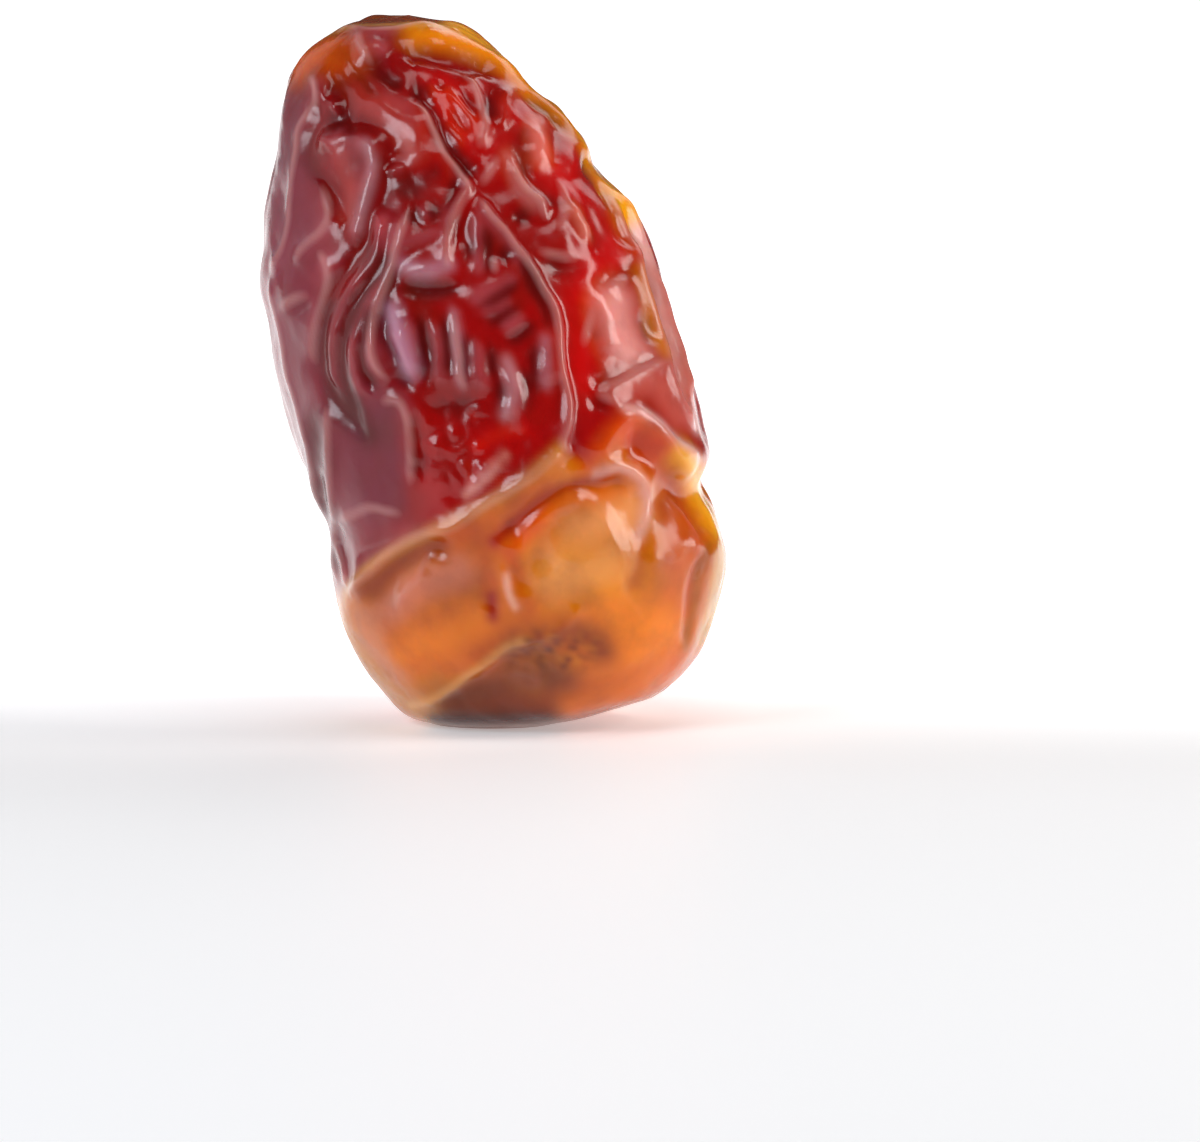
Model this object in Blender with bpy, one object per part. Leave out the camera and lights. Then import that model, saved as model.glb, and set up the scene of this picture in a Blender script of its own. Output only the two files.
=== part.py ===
"""A dried sagai date, standing on its blunt stem end and leaning a little back and to the left.

The fruit is one piece. Its body is a stack of level sections between four edge curves, and the folds of
its skin are raised from that body by formula: pinched crests, rounded rolls and sharp creases, each along
a line drawn on the skin. Lengths are in millimetres, and MM turns them to metres when the mesh is made.
"""

import math

import bpy
import numpy as np
from mathutils import Vector, noise

MM = 0.001

# The eye that the front lines are drawn for looks down by this angle.
VIEW_DOWN = math.radians(7.0)

# The body is an oval with slightly flattened sides: 2 is an ellipse, and more is squarer.
SECTION_POWER = 2.25

# The mesh is made fine, so that each fold is caught, and is then reduced to this many triangles.
SEGMENTS = 264
RINGS = 184
TRIANGLES = 11400

# No fold is drawn narrower than this half width, so that the reduced mesh can still hold it.
FINEST_FOLD = 0.38

# Each fold fades out over this length at both of its ends. Its width swells and shrinks by this share, a
# few times over its length.
FADE_LENGTH = 1.5
SWELL = 0.2
SWELLS_PER_LENGTH = 1.9

# How far a fold's flanks reach for each kind, as shares of its half width. A crest has a sharp pinch on a
# wide low foot.
ROLL_FLANK = 1.2
CREASE_FLANK = 1.35
PINCH_FLANK = 0.6
CREST_FOOT_FLANK = 2.4
PINCH_ROUNDING = 0.1
FARTHEST_FLANK = 5.5

# Heights and widths of the lumps, the finer lumps and the facets of the skin that the eye doesn't see, and
# how many times as tall as wide each is. The lumps are lower near the stem end.
LUMP_HEIGHT, LUMP_WIDTH, LUMP_STRETCH = 1.9, 2.5, 3.4
FINE_HEIGHT, FINE_WIDTH, FINE_STRETCH = 0.4, 1.5, 2.6
FACET_HEIGHT, FACET_WIDTH, FACET_STRETCH = 1.3, 6.5, 1.4
LUMP_MEAN = 0.25
BEND_HEIGHT, BEND_WIDTH = 1.2, 5.0
STEM_CALM = 0.75
STEM_CALM_STARTS, STEM_CALM_ENDS = 13.0, 5.0

# The foot is a flat spot where the soft end has settled on the table.
FOOT_FRONT = -3.4
FOOT_BACK = 4.8
FOOT_HALF_WIDTH = 3.8
FOOT_TRIM = 0.4
RELIEF_STARTS = 0.25
RELIEF_FULL = 1.6

# The four edges of the body, from the foot to the tip. Left and right are (across, up) as the eye sees
# them, and front and back are (depth, up), with the table's far side at +Y.
TIP_ACROSS, TIP_DEPTH, TIP_HEIGHT = -4.8, 4.0, 40.7
LEFT_EDGE = [
    (-FOOT_HALF_WIDTH, 0.0), (-5.2, 1.0), (-6.8, 2.9), (-8.1, 5.0), (-8.9, 7.0), (-9.1, 9.5), (-9.1, 11.5),
    (-10.0, 13.5), (-11.1, 16.0), (-11.8, 18.5), (-12.4, 21.0), (-12.9, 24.0), (-13.2, 26.0), (-12.9, 29.0),
    (-12.4, 32.5), (-11.9, 36.0), (-11.1, 38.1), (-10.1, 39.2), (-8.4, 40.1), (-6.6, 40.6),
    (TIP_ACROSS, TIP_HEIGHT),
]
RIGHT_EDGE = [
    (FOOT_HALF_WIDTH, 0.0), (6.23, 1.0), (9.3, 2.0), (10.9, 3.2), (12.1, 4.9), (12.9, 7.5), (13.4, 10.0),
    (12.8, 12.2), (11.9, 14.0), (12.5, 15.6), (12.0, 17.3), (11.3, 20.0), (10.25, 23.0), (9.65, 25.5),
    (8.68, 28.0), (7.49, 30.3), (6.07, 31.9), (5.42, 33.3), (3.82, 35.0), (1.89, 36.9), (0.09, 38.7),
    (-1.92, 40.2), (TIP_ACROSS, TIP_HEIGHT),
]
FRONT_EDGE = [
    (FOOT_FRONT, 0.0), (-5.6, 0.7), (-7.6, 2.2), (-9.6, 5.0), (-10.7, 9.0), (-10.9, 14.0), (-10.4, 20.0),
    (-9.3, 26.0), (-7.3, 31.0), (-4.6, 35.5), (-2.0, 38.3), (0.8, 40.2), (TIP_DEPTH, TIP_HEIGHT),
]
BACK_EDGE = [
    (FOOT_BACK, 0.0), (6.4, 0.8), (8.0, 2.4), (9.5, 5.0), (10.4, 9.0), (10.9, 14.0), (11.3, 20.0),
    (11.6, 26.0), (11.4, 31.0), (10.4, 35.5), (9.0, 38.3), (7.0, 40.2), (TIP_DEPTH, TIP_HEIGHT),
]

# Folds of the front skin. Each has a kind, a height, a half width, how far it leans to the left of its line
# (0 is even, and towards 1 its left flank is steeper), and its line as points (across, up) that the eye sees.
TIP_FOLDS = [
    ("crest", 0.24, 0.50, 0.0, [(-9.2, 39.5), (-8.2, 39.9), (-7.2, 39.6), (-5.5, 39.8), (-4.0, 40.1),
        (-2.6, 39.9)]),
    ("crest", 0.36, 0.45, -0.4, [(-7.5, 39.8), (-7.5, 39.0), (-7.2, 38.3), (-6.5, 37.7)]),
    ("roll", 0.29, 0.69, 0.0, [(-7.0, 39.2), (-6.5, 38.6), (-5.9, 38.1)]),
    ("crease", 0.29, 0.46, 0.0, [(-7.5, 38.6), (-7.0, 37.9), (-6.2, 37.2), (-5.4, 36.6), (-4.7, 36.1)]),
    ("crease", 0.23, 0.29, 0.0, [(-8.4, 38.3), (-7.7, 37.4), (-7.0, 36.5), (-6.3, 35.6)]),
    ("crease", 0.42, 0.63, 0.0, [(-5.6, 38.1), (-4.5, 38.4), (-3.0, 38.1), (-1.5, 37.8), (-0.4, 37.4),
        (0.0, 36.6)]),
    ("roll", 0.39, 1.03, 0.0, [(-5.0, 39.4), (-2.8, 39.2), (-0.9, 38.6), (0.6, 37.6), (2.0, 36.3),
        (3.2, 35.3), (4.2, 34.4), (5.0, 33.3), (5.5, 32.3)]),
]
HEART_FOLDS = [
    ("crest", 0.36, 0.35, 0.3, [(-1.9, 37.3), (-1.3, 36.8), (-0.8, 35.9), (-0.5, 34.9), (-0.4, 34.0),
        (-0.6, 33.2), (-1.0, 32.6)]),
    ("roll", 0.26, 0.52, 0.0, [(-3.4, 37.0), (-3.5, 36.0), (-3.3, 35.3)]),
    ("crease", 0.16, 0.23, 0.0, [(-2.9, 36.9), (-2.9, 36.1)]),
    ("roll", 0.23, 0.34, 0.0, [(-2.5, 36.9), (-2.3, 36.0), (-1.7, 35.2), (-1.2, 34.4), (-0.9, 33.5)]),
    ("crease", 0.16, 0.25, 0.0, [(-1.9, 36.7), (-1.5, 35.9), (-1.1, 35.0), (-0.8, 34.2)]),
    ("crease", 0.23, 0.32, 0.0, [(-2.7, 35.4), (-2.1, 34.9), (-1.6, 34.1), (-1.2, 33.5)]),
    ("roll", 0.29, 0.52, 0.0, [(-3.1, 34.9), (-2.5, 34.0), (-1.9, 33.1), (-1.5, 32.4)]),
    ("crease", 0.34, 0.46, 0.0, [(-4.7, 37.5), (-4.2, 36.4), (-3.7, 35.5), (-3.2, 34.6), (-2.8, 33.7),
        (-2.4, 32.9), (-1.8, 32.1), (-1.3, 31.4), (-0.9, 30.8)]),
    ("crest", 0.48, 0.30, 0.5, [(-4.5, 36.1), (-3.9, 35.1), (-3.5, 34.2), (-3.0, 33.2), (-2.6, 32.4),
        (-2.0, 31.7), (-1.5, 31.0), (-1.3, 30.5), (-1.6, 30.0), (-2.0, 29.2), (-2.3, 28.3), (-2.5, 27.3),
        (-2.6, 26.7), (-2.3, 26.2), (-1.8, 26.2)]),
    ("crease", 0.21, 0.34, 0.0, [(-2.5, 31.6), (-2.1, 31.0), (-2.1, 30.3), (-2.5, 29.4), (-2.8, 28.6)]),
    ("crest", 0.28, 0.28, 0.0, [(0.6, 32.8), (0.2, 32.0), (-0.3, 31.2), (-0.8, 30.4)]),
    ("crest", 0.52, 0.28, 0.6, [(-0.8, 30.4), (-0.5, 29.7), (0.0, 28.9), (0.8, 28.1), (1.4, 27.2),
        (1.9, 26.5), (2.4, 25.8), (2.9, 24.9), (3.4, 24.1), (3.7, 23.2), (3.8, 22.0), (3.9, 21.0),
        (4.0, 20.2), (4.2, 19.3), (4.35, 18.3), (4.3, 17.3), (4.1, 16.6), (3.95, 16.1), (4.3, 15.8),
        (4.8, 15.7)]),
    ("crease", 0.23, 0.40, 0.0, [(0.9, 27.5), (1.9, 26.1), (2.4, 25.1), (3.0, 24.0), (3.3, 23.0),
        (3.4, 22.0)]),
    ("crease", 0.21, 0.34, 0.0, [(3.65, 20.6), (3.85, 19.4), (3.9, 18.2), (3.8, 17.1)]),
    ("crest", 0.48, 0.35, 0.4, [(0.9, 32.9), (1.2, 31.9), (1.6, 31.0), (2.1, 30.3), (2.7, 29.8),
        (2.9, 29.1), (3.1, 28.5)]),
    ("crest", 0.17, 0.25, 0.0, [(3.1, 28.5), (3.5, 28.4), (3.95, 28.6), (4.1, 29.3), (4.1, 30.1),
        (3.8, 30.9), (3.3, 31.0)]),
    ("crease", 0.11, 0.52, 0.0, [(3.5, 30.5), (3.5, 29.2)]),
    ("roll", 0.29, 0.52, 0.0, [(1.6, 36.4), (0.8, 35.9), (0.5, 35.1), (0.5, 34.4), (0.9, 33.7)]),
    ("crease", 0.26, 0.37, 0.0, [(0.1, 36.6), (-0.1, 35.8), (-0.1, 34.8), (0.1, 33.9)]),
    ("roll", 0.25, 0.69, 0.0, [(2.9, 34.3), (2.7, 33.5), (2.5, 32.7), (2.4, 31.9)]),
    ("crease", 0.14, 0.40, 0.0, [(1.9, 34.7), (1.8, 33.6), (1.8, 32.6), (2.0, 31.6), (2.5, 30.8)]),
    ("crease", 0.16, 0.40, 0.0, [(3.5, 34.6), (3.6, 33.6), (3.6, 32.6), (3.3, 31.8)]),
    ("crease", 0.20, 0.46, 0.0, [(1.4, 36.2), (2.0, 35.7), (2.9, 35.1), (3.7, 34.3), (4.2, 33.4)]),
    ("roll", 0.17, 0.57, 0.0, [(4.8, 33.6), (4.8, 32.7), (4.6, 31.9), (4.1, 31.3)]),
    ("crease", 0.14, 0.40, 0.0, [(5.4, 32.9), (5.4, 32.0), (5.2, 31.0)]),
    ("roll", 0.49, 0.52, 0.0, [(4.2, 30.2), (4.5, 29.5), (4.9, 28.8), (5.4, 28.0), (5.6, 27.4)]),
    ("crease", 0.13, 0.21, 0.0, [(4.7, 29.3), (5.0, 28.8), (5.2, 28.4)]),
    ("crease", 0.16, 0.40, 0.0, [(4.9, 30.6), (5.5, 29.5), (5.9, 28.4), (6.0, 27.3), (5.6, 26.8)]),
    ("roll", 0.23, 0.69, 0.0, [(2.3, 27.7), (3.4, 27.9), (4.4, 27.6), (5.2, 27.1)]),
    ("crest", 0.20, 0.35, 0.0, [(2.2, 27.0), (3.2, 26.9), (4.4, 26.7), (5.3, 26.8)]),
    ("crease", 0.21, 0.46, 0.0, [(2.4, 26.4), (3.6, 26.2), (4.8, 26.1), (5.8, 26.3)]),
    ("crease", 0.18, 0.34, 0.0, [(1.3, 28.3), (1.8, 29.1), (2.5, 29.5)]),
]
RIGHT_FOLDS = [
    ("crease", 0.26, 0.40, 0.0, [(7.9, 27.0), (7.7, 26.1), (6.9, 25.7), (6.1, 25.3), (5.6, 24.9)]),
    ("crest", 0.19, 0.40, 0.0, [(8.0, 26.0), (7.2, 25.3), (6.3, 25.0)]),
    ("crease", 0.34, 0.46, 0.0, [(6.1, 31.6), (6.5, 30.4), (7.1, 29.1), (7.6, 27.9), (7.9, 27.0)]),
    ("roll", 0.32, 1.30, 0.0, [(7.0, 24.6), (6.6, 23.5), (6.7, 22.0), (6.8, 20.9)]),
    ("crease", 0.18, 0.40, 0.0, [(5.9, 24.7), (5.7, 23.5), (5.6, 22.3), (5.7, 21.0)]),
    ("crease", 0.26, 0.69, 0.0, [(8.4, 24.3), (8.7, 23.2), (9.0, 22.3), (9.3, 21.5)]),
    ("crease", 0.31, 0.37, 0.0, [(9.6, 21.3), (8.4, 20.7), (7.3, 20.1), (6.2, 19.6), (5.5, 19.4)]),
    ("crest", 0.26, 0.30, 0.0, [(9.9, 20.8), (9.2, 20.6), (8.2, 20.1), (7.0, 19.5), (5.7, 19.1)]),
    ("crest", 0.22, 0.30, 0.0, [(5.7, 19.1), (6.5, 18.7), (7.4, 18.1)]),
    ("crease", 0.23, 0.37, 0.0, [(5.3, 18.9), (6.0, 18.4), (6.9, 17.9)]),
    ("crest", 0.48, 0.30, 0.0, [(6.5, 31.0), (7.0, 29.6), (7.6, 28.3), (8.1, 27.2), (8.25, 26.0),
        (8.6, 25.0), (9.0, 23.9), (9.3, 22.9), (9.7, 22.1), (9.8, 21.0), (10.0, 20.2), (10.3, 19.5),
        (10.8, 18.5), (11.2, 17.7), (11.6, 17.0)]),
    ("crest", 0.50, 0.30, 0.0, [(7.2, 30.9), (7.8, 29.7), (8.5, 28.3), (8.8, 27.2), (9.1, 26.1),
        (9.5, 24.9), (9.9, 23.7), (10.3, 22.5), (10.8, 21.0), (11.2, 19.6), (11.5, 18.6)]),
    ("crease", 0.30, 0.38, 0.0, [(7.0, 30.3), (8.2, 27.7), (8.8, 25.7), (9.6, 23.1), (10.4, 20.6),
        (11.2, 18.2)]),
    ("crest", 0.48, 0.35, 0.0, [(7.4, 18.1), (8.1, 18.1), (8.8, 17.6), (9.3, 17.0), (9.9, 16.4),
        (10.7, 15.9), (11.4, 15.5), (11.8, 15.4)]),
    ("roll", 0.55, 0.63, 0.0, [(5.4, 14.8), (5.9, 15.5), (6.4, 16.2), (6.9, 17.0), (7.4, 17.5),
        (8.0, 17.5), (8.7, 17.0), (9.3, 16.4), (10.0, 15.7), (10.8, 15.0), (11.5, 14.3)]),
    ("crease", 0.36, 0.80, 0.0, [(7.3, 16.1), (8.2, 15.7), (9.2, 14.9), (10.1, 13.9), (10.9, 12.9),
        (11.7, 11.9), (12.4, 11.0)]),
    ("crest", 0.52, 0.35, -0.3, [(5.7, 14.4), (6.4, 14.4), (7.1, 14.75), (7.9, 14.6), (8.5, 14.2),
        (8.8, 13.6), (8.7, 12.8), (8.5, 11.8), (8.4, 10.8)]),
    ("crease", 0.47, 0.48, 0.0, [(0.2, 10.7), (1.0, 11.3), (2.0, 12.2), (3.0, 13.0), (4.2, 13.6),
        (5.3, 13.7), (6.5, 13.7), (7.5, 13.9), (8.1, 13.9)]),
    ("roll", 0.39, 2.76, 0.0, [(3.5, 8.5), (5.5, 10.5), (7.4, 11.8)]),
    ("crest", 0.32, 0.40, 0.0, [(9.3, 13.9), (10.2, 12.9), (11.0, 12.0), (11.5, 11.2), (11.5, 10.4),
        (11.3, 9.4)]),
    ("crease", 0.16, 0.46, 0.0, [(8.8, 12.4), (8.6, 11.0), (8.5, 9.8), (8.3, 8.8), (7.8, 7.9),
        (7.3, 7.2)]),
    ("crease", 0.26, 0.37, 0.0, [(12.3, 10.2), (11.9, 9.4), (11.5, 8.4), (11.25, 7.4), (11.1, 6.4),
        (11.1, 5.4), (11.1, 4.6)]),
    ("crease", 0.18, 0.34, 0.0, [(11.8, 12.2), (12.3, 11.5), (12.8, 11.0)]),
]
SHOULDER_FOLDS = [
    ("crest", 0.56, 0.42, 0.0, [(-8.4, 7.5), (-7.5, 8.2), (-6.6, 8.9), (-5.8, 9.8), (-5.0, 10.5),
        (-4.0, 11.0), (-3.0, 11.3), (-2.2, 11.4), (-1.5, 11.8), (-0.8, 12.4), (0.0, 12.9), (1.0, 13.5),
        (2.0, 14.1), (2.8, 14.7), (3.5, 15.4), (3.9, 15.9)]),
    ("crease", 0.31, 0.57, 0.0, [(-7.3, 7.1), (-6.3, 7.8), (-5.5, 8.7), (-4.7, 9.6), (-3.7, 10.2),
        (-2.6, 10.3), (-1.7, 10.8)]),
    ("roll", 0.20, 0.52, 0.0, [(-1.0, 11.5), (0.5, 12.2), (2.0, 13.1), (3.5, 14.1), (4.8, 14.5)]),
    ("crest", 0.28, 0.40, 0.0, [(-5.5, 6.0), (-5.1, 7.2), (-4.6, 8.0), (-4.0, 8.6), (-3.8, 9.3),
        (-3.3, 10.0), (-2.9, 10.6)]),
    ("crest", 0.40, 0.35, 0.0, [(0.4, 9.6), (0.7, 8.8), (0.9, 8.0), (1.2, 7.2), (1.6, 6.6)]),
    ("crease", 0.26, 0.57, 0.0, [(0.1, 9.8), (-0.2, 8.6), (-0.1, 7.4), (0.1, 6.3)]),
    ("crease", 0.29, 0.52, 0.0, [(1.0, 9.9), (1.4, 9.0), (1.9, 8.1), (2.2, 7.4)]),
    ("crease", 0.29, 0.69, 0.0, [(2.2, 8.5), (2.7, 9.6), (3.3, 10.8), (4.2, 11.9), (5.4, 12.6),
        (6.8, 13.0)]),
    ("roll", 0.20, 0.46, 0.0, [(1.3, 10.6), (2.1, 11.4), (3.2, 12.4), (4.6, 13.1), (6.0, 13.3)]),
    ("crest", 0.32, 0.28, 0.0, [(-1.8, 13.3), (-1.2, 13.6), (-0.5, 14.3), (0.2, 15.1), (0.9, 15.8)]),
]
LEFT_FOLDS = [
    ("crest", 0.32, 0.50, 0.0, [(-10.6, 37.1), (-10.0, 36.7), (-9.9, 35.8), (-10.3, 35.0), (-10.9, 34.0),
        (-11.0, 32.8), (-11.2, 31.2), (-11.4, 29.8), (-11.5, 28.6), (-11.8, 27.3), (-12.3, 26.5),
        (-12.7, 25.9)]),
    ("crease", 0.34, 0.58, 0.0, [(-9.7, 36.5), (-9.2, 36.9), (-8.7, 36.4), (-8.4, 35.5), (-8.4, 34.7),
        (-9.0, 34.4), (-9.6, 34.5), (-10.0, 34.0), (-10.3, 33.2), (-10.2, 32.4), (-9.7, 31.6),
        (-9.2, 30.9), (-8.7, 30.2), (-8.4, 29.4), (-8.3, 28.5), (-8.3, 27.5)]),
    ("crease", 0.21, 0.34, 0.0, [(-9.8, 36.2), (-9.9, 35.3), (-9.7, 34.6)]),
    ("roll", 0.26, 0.37, 0.0, [(-9.3, 35.9), (-8.9, 35.4), (-9.2, 34.9)]),
    ("roll", 0.20, 0.32, 0.0, [(-8.5, 29.3), (-8.7, 28.2)]),
    ("roll", 0.42, 0.60, 0.0, [(-9.7, 32.5), (-9.5, 33.2), (-8.8, 33.5), (-8.0, 33.6), (-7.1, 33.3),
        (-6.5, 32.6), (-6.5, 31.5), (-6.9, 30.3), (-7.2, 29.2), (-7.5, 28.0), (-7.9, 26.9)]),
    ("crease", 0.11, 0.18, 0.0, [(-7.3, 28.9), (-7.45, 28.0)]),
    ("crease", 0.22, 0.60, 0.0, [(-9.1, 34.0), (-8.2, 34.0), (-7.4, 34.3), (-6.4, 33.9), (-5.6, 33.4),
        (-5.1, 32.6), (-5.0, 31.6)]),
    ("crease", 0.36, 0.50, 0.0, [(-6.2, 33.3), (-6.0, 32.2), (-6.1, 31.1), (-6.4, 30.1), (-6.8, 29.2),
        (-6.95, 28.2), (-7.2, 27.2), (-7.8, 26.3), (-8.4, 25.6), (-8.9, 24.8), (-9.3, 23.8), (-9.5, 22.5),
        (-9.6, 21.2), (-9.5, 20.2), (-9.2, 19.3), (-8.8, 18.6), (-8.2, 17.8), (-7.5, 17.0),
        (-6.7, 16.1)]),
    ("roll", 0.33, 0.46, 0.0, [(-5.55, 32.0), (-5.5, 31.2)]),
    ("roll", 0.45, 1.00, 0.0, [(-7.3, 36.2), (-6.2, 35.3), (-5.2, 34.4), (-4.5, 33.4), (-4.3, 32.4),
        (-4.6, 31.3)]),
    ("crease", 0.15, 0.57, 0.0, [(-6.2, 30.6), (-5.2, 30.6), (-4.3, 30.8), (-3.6, 31.2)]),
    ("crest", 0.24, 0.40, 0.0, [(-9.9, 31.4), (-9.4, 30.1), (-9.2, 28.9), (-9.6, 28.1), (-10.3, 27.5),
        (-10.9, 26.8), (-11.3, 26.3)]),
    ("crest", 0.28, 0.40, 0.0, [(-10.0, 24.7), (-10.8, 24.5), (-11.5, 24.1), (-12.0, 23.7)]),
    ("crease", 0.16, 0.40, 0.0, [(-9.9, 24.2), (-10.8, 23.9), (-11.6, 23.4)]),
    ("crest", 0.28, 0.40, 0.0, [(-10.0, 27.2), (-9.4, 26.6), (-9.2, 25.8), (-9.5, 24.6), (-9.9, 23.0),
        (-10.1, 21.4), (-10.0, 20.2)]),
    ("crest", 0.32, 0.40, 0.0, [(-12.7, 25.8), (-12.4, 24.6), (-12.0, 23.0), (-11.7, 21.5), (-11.5, 20.0),
        (-11.2, 18.9), (-10.8, 17.8), (-10.5, 16.8), (-10.3, 15.6), (-10.1, 14.5), (-9.8, 13.2),
        (-9.4, 12.2), (-9.2, 11.0), (-9.0, 9.5), (-8.7, 8.0)]),
    ("crest", 0.28, 0.28, 0.0, [(-9.3, 18.6), (-9.15, 17.5), (-9.15, 16.0), (-9.1, 14.2), (-9.0, 12.5),
        (-8.8, 11.0), (-8.6, 9.8), (-8.3, 8.6), (-8.1, 7.8)]),
    ("crease", 0.16, 0.34, 0.0, [(-9.7, 15.0), (-9.6, 13.5), (-9.3, 12.2)]),
    ("crest", 0.20, 0.40, 0.0, [(-8.8, 11.8), (-7.8, 12.2), (-6.8, 12.6), (-5.8, 12.4), (-4.8, 12.2)]),
    ("crest", 0.26, 0.35, 0.0, [(-6.4, 18.1), (-5.8, 18.6), (-5.1, 18.5), (-4.7, 17.5), (-4.55, 16.0),
        (-4.5, 14.5), (-4.7, 13.4)]),
    ("crease", 0.26, 0.37, 0.0, [(-4.4, 18.4), (-4.2, 17.0), (-4.1, 15.5), (-4.0, 14.5), (-4.2, 13.5)]),
]
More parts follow.
